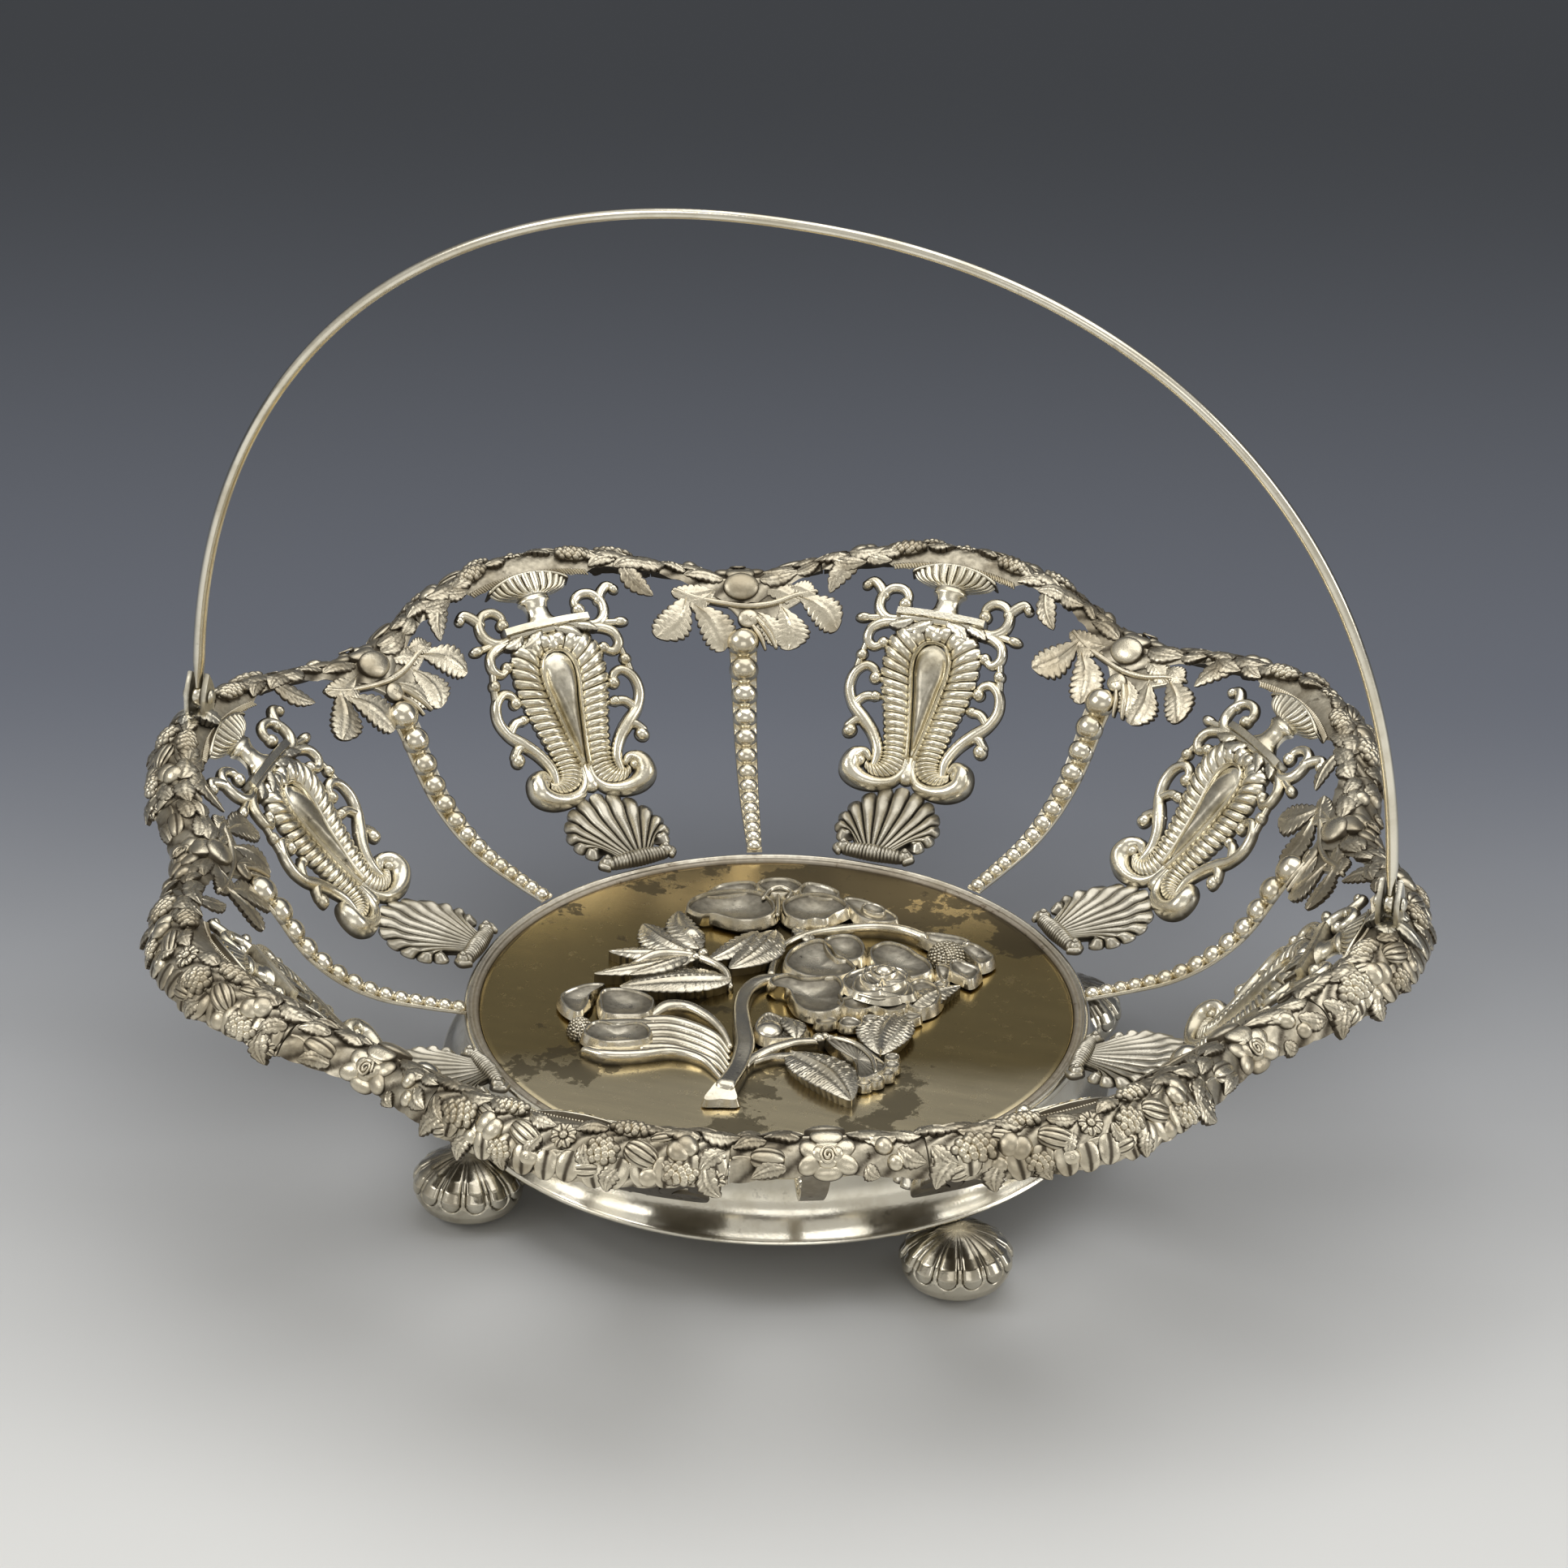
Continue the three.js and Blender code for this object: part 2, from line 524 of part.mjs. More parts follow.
addSpray('spray_stem',
  blade([[-12.2, -43.4, 3.9], [-10.4, -37, 2.7], [-7.6, -28, 2.2], [-6.9, -18, 2.1],
    [-7.6, -9, 2.1], [-8, -2, 1.9], [-6.2, 4.6, 1.8], [-3.4, 9, 1.7]], 12, high),
  blade([[-6.6, -28.6, 1.2], [-3, -23.6, 1.3], [1.4, -19.6, 1.4], [6, -17.9, 1.3],
    [10.5, -18, 1.3]], 7, high * 0.8),
  blade([[-5, -26.6, 1], [0, -24.4, 0.9], [5, -25, 0.9]], 4, high * 0.6),
  frond([3.6, -23.4], [17, -43], 6.6, high * 0.8),
  casting([[10, -16.6], [15, -15.9], [21, -18.6], [25.4, -23.6], [25, -29.5], [19.6, -34.5],
    [16.8, -27], [12, -21]], high * 0.7));
addSpray('spray_tulip',
  casting([[-39, 4.6], [-45, 4.2], [-49.4, 0], [-49, -5], [-45.6, -9.6], [-42, -6.5], [-40, -1]],
    high * 0.9),
  casting([[-41.5, -1], [-37, 2.4], [-32, 1.6], [-26.8, -2.6], [-27.4, -6], [-33, -10.4],
    [-40, -11.8], [-40.6, -7]], high),
  casting([[-39, -13.6], [-30, -11.4], [-27.4, -15], [-28.4, -20], [-34, -23.6], [-40, -24.6],
    [-43.6, -20], [-43.4, -16]], high),
  dome(-43.6, -12.6, 3.3, high * 1.1),
  blade([[-29, -5.2, 1.6], [-23.4, -3.6, 1.7], [-17, -7, 1.6], [-12.7, -13.4, 1.2],
    [-10.4, -20, 0.6]], 5, high * 0.8),
  blade([[-31, -9.6, 2.4], [-24, -10, 2.6], [-17, -14, 2.2], [-12.6, -20, 1.4],
    [-10.7, -27, 0.5]], 5, high * 0.7),
  blade([[-33, -16, 2.6], [-25, -14.6, 2.6], [-17.6, -17.6, 2], [-12.8, -23.4, 1.2],
    [-11.6, -28.6, 0.5]], 5, high * 0.6),
  blade([[-38, -23.4, 1.2], [-29, -21, 1.8], [-21, -20, 1.9], [-15, -23.4, 1.4],
    [-12.2, -30, 0.5]], 6, high * 0.8));
addSpray('spray_left_leaves',
  casting([[-35, 5.2], [-30.4, 1.2], [-26.5, -0.6], [-22, -0.2], [-15.6, 0.4], [-11.2, 5.4],
    [-12.4, 9.6], [-20, 9.9], [-28, 9.6], [-33, 8.4]], high * 0.7),
  frond([-12.6, 9.4], [-33.5, 12], 4.2, high * 0.9),
  frond([-19, 14], [-41.5, 9.6], 2.6, high),
  frond([-20, 15], [-29.5, 32], 5.6, high),
  frond([-19.6, 15], [-22.4, 30], 2.8, high * 0.9),
  blade([[-11.4, 7, 0.9], [-12.6, 12.6, 1.2], [-18, 16.4, 1.6]], 4, high * 0.9));
addSpray('spray_upper_rose',
  casting([[-21.6, 37], [-20.8, 43], [-17, 48.6], [-12, 49.8], [-9, 53], [-4, 53.4], [0, 54.8],
    [6, 54.2], [11, 50], [14, 45.4], [16, 40], [11, 35.2], [5.4, 32], [-1, 33], [-7.6, 30.8],
    [-13.4, 31.6], [-18, 35.4]], high),
  dome(-8, 41.6, 8, high * 1.5, 1),
  dome(2, 42, 6.4, high * 1.4, 1),
  dome(-16.8, 42, 4.6, high * 1.2, 1),
  dome(8.6, 49, 4.6, high * 1.2, 1),
  dome(11, 41.4, 4.4, high * 1.25, 1),
  dome(-6, 49.6, 3.4, high * 1.3, 1),
  casting([[14, 46], [20, 45.8], [25.8, 41], [28, 36.4], [25, 34.6], [18, 36.4]], high * 0.8),
  frond([-1.6, 32.4], [-12, 17], 6, high * 0.7),
  frond([-8, 31], [-15.2, 23], 2, high * 0.5));
addSpray('spray_lower_rose',
  casting([[1.4, 20], [4, 25.6], [10, 28.8], [15, 29.6], [19, 28], [24, 26.6], [30, 23.6],
    [34.4, 18], [33.6, 11.6], [36.6, 8.4], [40.6, 3.4], [39, -3.2], [34, -6.6], [29, -5.6],
    [24, -6.2], [19, -10], [16, -11.8], [12.5, -9.6], [8, -10.2], [3.6, -8], [0.6, -2.2],
    [-1.8, 3.6], [-1.2, 8.4], [2.6, 12]], high),
  dome(8.4, 18, 7.6, high * 1.3, 1),
  dome(16.6, 24.6, 5, high * 1.35, 1),
  dome(27.6, 18.6, 6.4, high * 1.3, 1),
  dome(8, 2, 7.4, high * 1.3, 1),
  dome(23.4, 7, 8.4, high * 1.5, 1),
  dome(23.6, 8.6, 5, high * 1.75, 1),
  dome(33, 4, 4, high * 1.2, 1),
  frond([25.4, -4], [26.4, -20.6], 5.8, high * 0.7),
  casting([[-1, -5.6], [2.6, -7.4], [6.8, -10.6], [5.6, -15.2], [0, -18.4], [-3.6, -16.2],
    [-4.2, -11.4], [-3, -7]], high * 0.8),
  blade([[1.4, -1, 1.6], [0.4, -7.4, 1.6]], 1, high * 0.8));
addSpray('spray_berry_sprig',
  blade([[-0.8, 13.6, 0.7], [-0.4, 20.2, 0.6], [1.9, 26.4, 0.6], [7.6, 30.5, 0.6], [14, 32.4, 0.8],
    [22, 33.4, 1.1], [29, 31.2, 1.3], [33.6, 28, 1.3]], 10, high * 0.8),
  casting([[33, 28], [37, 30], [41.4, 29.4], [43.6, 25.6], [48, 24.6], [50, 19.6], [47, 14],
    [44, 8.8], [40.8, 11], [39.4, 14], [38.4, 19], [36.6, 23.4]], high * 0.8),
  dome(39.2, 22, 4.9, high * 1.5));

export default basket;
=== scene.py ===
# Swing-handle basket of silver with a gilt floor plate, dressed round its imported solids.
# Lengths below are in millimetres unless they say otherwise; finished meshes are in metres.
import math

import bmesh
import bpy
import numpy as np
from mathutils import Matrix, Vector


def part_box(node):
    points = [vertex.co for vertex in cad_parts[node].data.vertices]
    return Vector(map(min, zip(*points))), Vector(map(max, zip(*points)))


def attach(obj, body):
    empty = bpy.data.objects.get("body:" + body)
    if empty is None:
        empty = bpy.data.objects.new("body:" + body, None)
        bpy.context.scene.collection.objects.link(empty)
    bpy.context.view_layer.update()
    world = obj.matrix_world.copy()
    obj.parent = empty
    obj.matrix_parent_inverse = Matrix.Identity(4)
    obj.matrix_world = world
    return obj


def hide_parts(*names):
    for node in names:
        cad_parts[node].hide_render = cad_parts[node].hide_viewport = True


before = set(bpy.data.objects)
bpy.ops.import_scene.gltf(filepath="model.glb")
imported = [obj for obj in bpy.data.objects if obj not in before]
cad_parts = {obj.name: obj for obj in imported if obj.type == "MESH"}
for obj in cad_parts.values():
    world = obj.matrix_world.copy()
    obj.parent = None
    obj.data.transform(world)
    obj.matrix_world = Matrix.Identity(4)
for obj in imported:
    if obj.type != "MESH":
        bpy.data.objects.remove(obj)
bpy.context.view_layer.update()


# Bun feet: four hollow balls of raised silver, pressed flat, with thirteen lobed flutes round
# the top half and a plain belly. Each is soldered under the drum flange.
class Value:
    """A number that varies over a surface; sums and products of values add Math nodes."""

    def __init__(self, graph, socket):
        self.graph, self.socket = graph, socket

    def _join(self, operation, a, b=0.0):
        made = self.graph.node("ShaderNodeMath", {0: a, 1: b}, operation=operation)
        return Value(self.graph, made[0])

    def __add__(self, other):
        return self._join("ADD", self, other)

    def __sub__(self, other):
        return self._join("SUBTRACT", self, other)

    def __rsub__(self, other):
        return self._join("SUBTRACT", other, self)

    def __mul__(self, other):
        return self._join("MULTIPLY", self, other)

    def __truediv__(self, other):
        return self._join("DIVIDE", self, other)

    def __pow__(self, other):
        return self._join("POWER", self, other)

    def cosine(self):
        return self._join("COSINE", self)

    def sine(self):
        return self._join("SINE", self)


class Graph:
    """A node tree, with methods that add nodes and wire them."""

    def __init__(self, tree):
        self.tree = tree

    def node(self, kind, sockets=None, **settings):
        """The outputs of a new node, with its input sockets fed by number or by name."""
        made = self.tree.nodes.new(kind)
        for key, value in settings.items():
            setattr(made, key, value)
        for key, value in (sockets or {}).items():
            self.feed(made.inputs[key], value)
        return made.outputs

    def feed(self, target, value):
        value = getattr(value, "socket", value)
        if isinstance(value, bpy.types.NodeSocket):
            self.tree.links.new(value, target)
        else:
            target.default_value = (*value, 1) if target.type == "RGBA" else value

    def axis(self, place, name):
        return Value(self, self.node("ShaderNodeSeparateXYZ", {0: place})[name])

    def step(self, value, low, high):
        """0 below the low value and 1 above the high one, with a smooth rise between."""
        made = self.node("ShaderNodeMapRange", {"Value": value, "From Min": low, "From Max": high},
                         interpolation_type="SMOOTHSTEP")
        return Value(self, made["Result"])

    def blend(self, factor, a, b):
        """Colour a where the factor is 0 and colour b where it is 1."""
        return Value(self, self.node("ShaderNodeMix", {0: factor, 6: a, 7: b}, data_type="RGBA")[2])


class Finish(Graph):
    """A procedural finish on its own material."""

    def __init__(self, name):
        self.material = bpy.data.materials.new(name)
        self.material.use_nodes = True
        super().__init__(self.material.node_tree)
        self.inputs = self.tree.nodes["Principled BSDF"].inputs
        self.place = self.node("ShaderNodeTexCoord")["Object"]

    def noise(self, scale, detail=3.0, rough=0.55, stretch=(1, 1, 1)):
        """Noise with so many waves to the metre."""
        where = self.node("ShaderNodeMapping", {"Vector": self.place, "Scale": stretch})[0]
        made = self.node("ShaderNodeTexNoise", {
            "Vector": where, "Scale": scale, "Detail": detail, "Roughness": rough})
        return Value(self, made["Fac"])

    def metal(self, colour, rough, height, distance, strength=1.0):
        """Wires a colour, a roughness and a bump of the given height, and gives the material."""
        self.feed(self.inputs["Base Color"], colour)
        self.feed(self.inputs["Roughness"], rough)
        self.feed(self.inputs["Metallic"], 1.0)
        bump = self.node("ShaderNodeBump", {
            "Height": height, "Distance": distance, "Strength": strength})
        self.feed(self.inputs["Normal"], bump[0])
        return self.material


def silver(name, bright, dull, dark, rough, tarnish, grain, bite=(0.3, 1.0)):
    """Old silver: bright where it is rubbed, clouded elsewhere, dark down in its recesses and in the
    painted shade that a piece puts in its recess values. The dark begins at the first depth of bite
    and is full at the second; tarnish is its strength, rough the roughness of clean metal and grain
    the height of the fine bump."""
    finish = Finish(name)
    recess = Value(finish, finish.node("ShaderNodeAttribute", attribute_name="recess")["Fac"])
    cloud = finish.step(finish.noise(70, 5, 0.62), 0.42, 0.66)
    spots = finish.step(finish.noise(240, 5, 0.7), 0.60, 0.70)
    breakup = finish.noise(620, 3)
    fine = finish.noise(1500, 3, 0.6)
    deep = finish.step(recess + (breakup - 0.5) * 0.4, *bite)
    colour = finish.blend(cloud * 0.8, bright, dull)
    colour = finish.blend(deep * tarnish + spots * (0.4 * tarnish), colour, dark)
    scratches = finish.noise(900, 2, 0.5, (1, 0.12, 0.5))
    worn = cloud * 0.1 + scratches * 0.08 + deep * 0.3 + (rough - 0.04)
    return finish.metal(colour, worn, fine + scratches * 0.4, 0.00005 * grain)


def points_of(mesh):
    points = np.empty(len(mesh.vertices) * 3)
    mesh.vertices.foreach_get("co", points)
    return points.reshape(-1, 3)


class Pattern:
    """A piece as it is worked flat: points, how deep each lies in a recess, and faces."""

    def __init__(self):
        self.points, self.recess, self.faces, self.total = [], [], [], 0

    def grid(self, points, recess=0.0):
        """Adds rows of points, each row a closed loop that is joined to the next."""
        rows, columns = points.shape[:2]
        index = self.total + np.arange(rows * columns).reshape(rows, columns)
        index = np.hstack([index, index[:, :1]])
        corners = (index[:-1, :-1], index[:-1, 1:], index[1:, 1:], index[1:, :-1])
        self.faces += np.stack(corners, -1).reshape(-1, 4).tolist()
        self.points.append(points.reshape(-1, 3))
        self.recess.append(np.broadcast_to(recess, (rows, columns)).reshape(-1))
        self.total += rows * columns

    def capped(self, points, recess):
        """A grid whose first and last rows are drawn shut to their middles."""
        shut = [np.repeat(points[[k]].mean(1, keepdims=True), points.shape[1], 1) for k in (0, -1)]
        recess = np.broadcast_to(recess, points.shape[:2])
        self.grid(np.concatenate([shut[0], points, shut[1]]),
                  np.concatenate([recess[:1], recess, recess[-1:]]))

    def take(self, mesh, recess, shift=(0, 0, 0), floor=None):
        """Adds a mesh made by a recipe; recess is worked out from its points."""
        points = points_of(mesh)
        self.recess.append(recess(points))
        if floor is not None:
            points[:, 2] = np.maximum(points[:, 2], floor)
        self.points.append(points + shift)
        self.faces += [[self.total + k for k in face.vertices] for face in mesh.polygons]
        self.total += len(points)

    def mesh(self, name, place=None, sharp=50):
        points = np.vstack(self.points)
        points = (place(points) if place else points) * 0.001
        mesh = bpy.data.meshes.new(name)
        mesh.from_pydata(points, [], self.faces)
        layer = mesh.attributes.new("recess", "FLOAT", "POINT")
        layer.data.foreach_set("value", np.clip(np.concatenate(self.recess), 0, 1))
        work = bmesh.new()
        work.from_mesh(mesh)
        bmesh.ops.remove_doubles(work, verts=work.verts, dist=1e-6)
        bmesh.ops.recalc_face_normals(work, faces=work.faces)
        work.to_mesh(mesh)
        work.free()
        mesh.shade_smooth()
        mesh.set_sharp_from_angle(angle=math.radians(sharp))
        return mesh


def around(count):
    """So many angles, evenly spaced round a full turn."""
    return np.linspace(0, 2 * np.pi, count, endpoint=False)


def turned(x, y, angle):
    """Both coordinates after a turn by an angle."""
    c, s = math.cos(angle), math.sin(angle)
    return x * c - y * s, x * s + y * c


def turned_round(outline, steps):
    """Points of a [radius, height] outline turned about the Z axis, a loop for each."""
    angle = around(steps)
    r, z = np.array(outline, float).T[..., None]
    return np.stack([r * np.cos(angle), r * np.sin(angle), z + 0 * angle], -1)


def join_meshes(mesh, other):
    """Adds the faces of another mesh to the first."""
    work = bmesh.new()
    work.from_mesh(mesh)
    work.from_mesh(other)
    work.to_mesh(mesh)
    work.free()
    bpy.data.meshes.remove(other)


def placed(name, data):
    """A new object in the scene."""
    piece = bpy.data.objects.new(name, data)
    bpy.context.scene.collection.objects.link(piece)
    return piece


def show(name, mesh, material, node, body="basket"):
    """A finished piece that rides on its body, in the place of its solid."""
    mesh.materials.append(material)
    piece = placed(name, mesh)
    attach(piece, body)
    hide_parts(node)


def show_turned(name, mesh, material, node, angle):
    """A copy of a mesh, turned by degrees about the basket's axis."""
    copy = mesh.copy()
    copy.transform(Matrix.Rotation(math.radians(angle), 4, "Z"))
    show(name, copy, material, node)


def show_round(name, mesh, material, node, first, count):
    """Copies of one mesh turned about the basket's axis, each in the place of its solid."""
    for k in range(count):
        show_turned(f"{name}_{k + 1}", mesh, material, f"{node}_{k + 1}", first + 360 * k / count)


foot_silver = silver("foot_silver", (0.76, 0.71, 0.585), (0.38, 0.33, 0.24), (0.05, 0.04, 0.03),
                     0.13, 0.92, 0.4)
foot_low, foot_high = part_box("bun_foot_1")
foot_height = foot_high.z * 1000
foot_centre = (foot_low + foot_high) * 500
foot_circle = math.hypot(foot_centre.x, foot_centre.y)
foot_first = math.degrees(math.atan2(foot_centre.y, foot_centre.x))
foot_radius = 12.75
foot_lobes = 13
foot_rows = np.linspace(0, 1, 66)[:, None]
foot_turn = around(foot_lobes * 18)
belly = np.interp(foot_rows, [0, 0.03, 0.1, 0.22, 0.36, 0.5, 0.62, 0.75, 0.87, 0.95, 1],
                  [0.36, 0.5, 0.71, 0.89, 0.98, 1, 0.975, 0.88, 0.70, 0.50, 0.34])
# each lobe is a long drop with its round end at the bottom, outlined by a narrow groove
lobed = belly * (foot_rows > 0.4)
from_middle = np.abs((foot_turn * foot_lobes / (2 * np.pi)) % 1 - 0.5) * 2
lobe_width = 0.78 - 0.12 * np.clip((foot_rows - 0.6) / 0.4, 0, 1)
lobe = 1 - (from_middle / lobe_width) ** 2 - (np.clip(0.62 - foot_rows, 0, 1) / 0.17) ** 2
bulge = 0.62 * lobed * np.sqrt(np.clip(lobe, 0, 1))
groove = np.exp(-((lobe + 0.10) / 0.16) ** 2) * lobed
foot_r = foot_radius * belly + bulge - 0.5 - 0.5 * groove
# patina in the grooves, and painted shade on the underside at the floor and towards the top, under the
# drum flange
foot_patina_and_shade = (1.1 * groove + 0.5 * (foot_rows < 0.08)
               + 0.6 * np.clip((foot_rows - 0.68) / 0.3, 0, 1))
foot = Pattern()
foot.capped(np.stack([foot_circle + foot_r * np.cos(foot_turn), foot_r * np.sin(foot_turn),
                      foot_height * foot_rows + 0 * foot_turn], -1), foot_patina_and_shade)
show_round("foot", foot.mesh("foot"), foot_silver, "bun_foot", foot_first, 4)


# Base drum: spun sheet silver, a hollow collar that spreads in a concave curve to a thin
# turned-in lip. The plate ring and the floor plate lie on its shelf.
def smooth(points, count, closed=False):
    """Points on a centripetal spline through the given ones: so many, evenly spaced, or for a
    count of 0 twenty to each stretch."""
    p = np.array(points, float)
    ends = (p[-1:], p[:2]) if closed else (2 * p[:1] - p[1:2], 2 * p[-1:] - p[-2:-1])
    p = np.vstack([ends[0], p, ends[1]])
    t = np.linspace(0, 1, 20, endpoint=False)[:, None]
    run = []
    for a, b, c, d in zip(p, p[1:], p[2:], p[3:]):
        d0, d1, d2 = (max(np.linalg.norm(y - x) ** 0.5, 1e-3) for x, y in ((a, b), (b, c), (c, d)))
        m1 = ((b - a) / d0 - (c - a) / (d0 + d1) + (c - b) / d1) * d1
        m2 = ((c - b) / d1 - (d - b) / (d1 + d2) + (d - c) / d2) * d1
        run.append(b + m1 * t + (3 * (c - b) - 2 * m1 - m2) * t ** 2
                   + (2 * (b - c) + m1 + m2) * t ** 3)
    run = np.vstack(run + [p[-2:-1]])
    if not count:
        return run
    length = np.concatenate([[0], np.cumsum(np.linalg.norm(np.diff(run[:, :2], axis=0), axis=1))])
    even = np.linspace(0, length[-1], count)
    return np.stack([np.interp(even, length, column) for column in run.T], 1)


polished_silver = silver("polished_silver", (0.91, 0.86, 0.73), (0.70, 0.64, 0.50),
                         (0.16, 0.12, 0.08), 0.16, 0.75, 0.35)
drum_low, drum_high = (corner * 1000 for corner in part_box("base_drum"))
ring_low, ring_high = (corner * 1000 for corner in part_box("plate_ring"))
flange_radius, ring_radius = drum_high.x, ring_high.x
round_steps = 240
lip, sheet = 0.55, 0.9
drum_inside = ring_radius - 11
wall_outside = smooth([
    (flange_radius - 0.3, drum_low.z + 1.1), (flange_radius - 2.6, drum_low.z + 2.8),
    (flange_radius - 5.2, drum_low.z + 6.2), (flange_radius - 6.2, drum_low.z + 10),
    (ring_radius - 1.1, drum_high.z)], 26)
wall_inside = wall_outside[::-1] - [0.95, 0.2]
drum_outline = [
    (flange_radius - 10, drum_low.z), (flange_radius - lip, drum_low.z),
    (flange_radius - 0.15, drum_low.z + 0.15), (flange_radius, drum_low.z + lip),
    *wall_outside, (drum_inside, drum_high.z), (drum_inside, drum_high.z - sheet),
    *wall_inside[1:], (flange_radius - 2, drum_low.z + sheet),
    (flange_radius - 10, drum_low.z + sheet), (flange_radius - 10, drum_low.z)]
drum = Pattern()
drum.grid(turned_round(drum_outline, round_steps))
show("base_drum_sheet", drum.mesh("base_drum_sheet", sharp=35), polished_silver, "base_drum")

# Plate ring: a drawn moulding of silver with a rounded outer edge, soldered on the drum
# round the floor plate.
ring_top, ring_floor = ring_high.z, ring_low.z
plate_radius = 67.5
ring_outline = smooth([
    (plate_radius, ring_floor), (ring_radius - 0.5, ring_floor), (ring_radius, ring_floor + 0.9),
    (ring_radius - 0.3, ring_top - 0.45), (ring_radius - 1.1, ring_top),
    (ring_radius - 2, ring_top - 0.5), (plate_radius + 0.8, ring_top - 0.15),
    (plate_radius, ring_top - 0.5)], 40, closed=True)
ring_deep = np.interp(ring_outline[:, 0],
                      [plate_radius, plate_radius + 2.4, ring_radius - 1.6, ring_radius - 0.9],
                      [0.95, 0.68, 0.62, 0.1])
ring = Pattern()
ring.grid(turned_round(ring_outline, round_steps), ring_deep[:, None])
show("plate_ring_moulding", ring.mesh("plate_ring_moulding"), polished_silver, "plate_ring")


# Floor plate: a flat disc of silver, gilded and burnished. The gilding is worn to a dull
# olive gold with brown clouds, and a painted highlight lies on it in front and behind, where the
# light would meet it.
def gilding():
    finish = Finish("gilt")
    wide = finish.noise(11, 4, 0.6)
    viewer_x, viewer_y = 0.304, -0.953
    nearer = (finish.axis(finish.place, "X") * viewer_x
              + finish.axis(finish.place, "Y") * viewer_y)
    # painted highlights along the edges of the plate nearest to and farthest from the camera; fewer
    # brown clouds lie under the front one
    front = finish.step(nearer + (wide - 0.5) * 0.03, 0.018, 0.038)
    painted_rear_highlight = finish.step(nearer * -1.0 + (wide - 0.5) * 0.03, 0.030, 0.056)
    patch = finish.step(finish.noise(46, 8, 0.72) + (wide - 0.5) * 1.1 - front * 0.10, 0.53, 0.56)
    speck = finish.step(finish.noise(380, 4, 0.7), 0.60, 0.68)
    drag = finish.noise(120, 3, 0.5, (0.25, 1, 1))
    gold = finish.blend(finish.step(wide, 0.35, 0.65), (0.45, 0.345, 0.15), (0.27, 0.20, 0.083))
    # the two painted highlights go on first, then the brown clouds and specks of the worn gilding
    for share, colour in ((painted_rear_highlight * 0.7, (0.86, 0.66, 0.34)), (front * 0.95, (1.0, 0.86, 0.56)),
                          (patch * 0.8, (0.06, 0.048, 0.028)), (speck * 0.6, (0.08, 0.065, 0.04))):
        gold = finish.blend(share, gold, colour)
    rough = wide * 0.16 + patch * 0.12 + speck * 0.2 + 0.13
    return finish.metal(gold, rough, wide * 0.5 + drag * 0.35, 0.0004, 0.5)


plate_low, plate_high = (corner * 1000 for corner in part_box("gilt_plate"))
plate_top = plate_high.z
plate_line = [
    (0, plate_low.z), (plate_high.x, plate_low.z), (plate_high.x, plate_top - 0.12),
    (plate_high.x - 0.15, plate_top), *((r, plate_top) for r in (66, 62, 54, 44, 32, 20, 8, 0))]
plate = Pattern()
plate.grid(turned_round(plate_line, round_steps))
show("floor_plate", plate.mesh("floor_plate"), gilding(), "gilt_plate")


# Flower spray: six castings of silver, chased over and fixed on the plate: a cut stem, a
# tulip with long blades, veined leaves, two open roses and a berry sprig.
def rib(pattern, path, steps, height=1.0, sides=7, bottom=0.0, ridges=0, flat=0.0, depth=0.16,
        base=0.0):
    """Half-round bar along [x, y, half width] points, with rounded ends and cross ridges."""
    run = smooth(path, steps)
    half, lift = run[:, 2], run[:, 2] * height
    way = np.gradient(run[:, :2], axis=0)
    way /= np.linalg.norm(way, axis=1)[:, None]
    along = np.linspace(0, 1, steps)
    ripple = np.abs(np.sin(np.pi * ridges * along)) ** 0.7 if ridges else np.ones(steps)
    half = half * (1 - depth * 0.6 * (1 - ripple))
    lift = lift * (1 - depth * (1 - ripple))
    # rounded ends: three more sections at each, that close in on the line
    ends = np.radians([90, 55, 25])
    centre = np.vstack([run[0, :2] - way[0] * half[0] * np.sin(ends)[:, None], run[:, :2],
                        run[-1, :2] + way[-1] * half[-1] * np.sin(ends[::-1])[:, None]])
    way = np.vstack([way[:1]] * 3 + [way] + [way[-1:]] * 3)
    half, lift = (np.concatenate([size[0] * np.cos(ends), size, size[-1] * np.cos(ends[::-1])])
                  for size in (half, lift))
    ripple = np.concatenate([[1] * 3, ripple, [1] * 3])
    # section: a half round, squarer where flat is near 1, on an undercut foot
    angle = np.linspace(0, np.pi, sides)
    side = np.sign(np.cos(angle)) * np.abs(np.cos(angle)) ** (1 - 0.7 * flat)
    side = np.append(side, [-0.9, 0.9])
    rise = np.append(np.sin(angle) ** (1 - 0.6 * flat), [0, 0])
    level = np.append(np.zeros(sides), [bottom, bottom])
    points = np.stack([
        centre[:, 0, None] - way[:, 1, None] * half[:, None] * side,
        centre[:, 1, None] + way[:, 0, None] * half[:, None] * side,
        lift[:, None] * rise + level + base + 0 * half[:, None]], -1)
    deep = (1 - rise) ** 1.6 + 0.8 * (1 - ripple[:, None]) * bool(ridges)
    pattern.grid(points, deep)


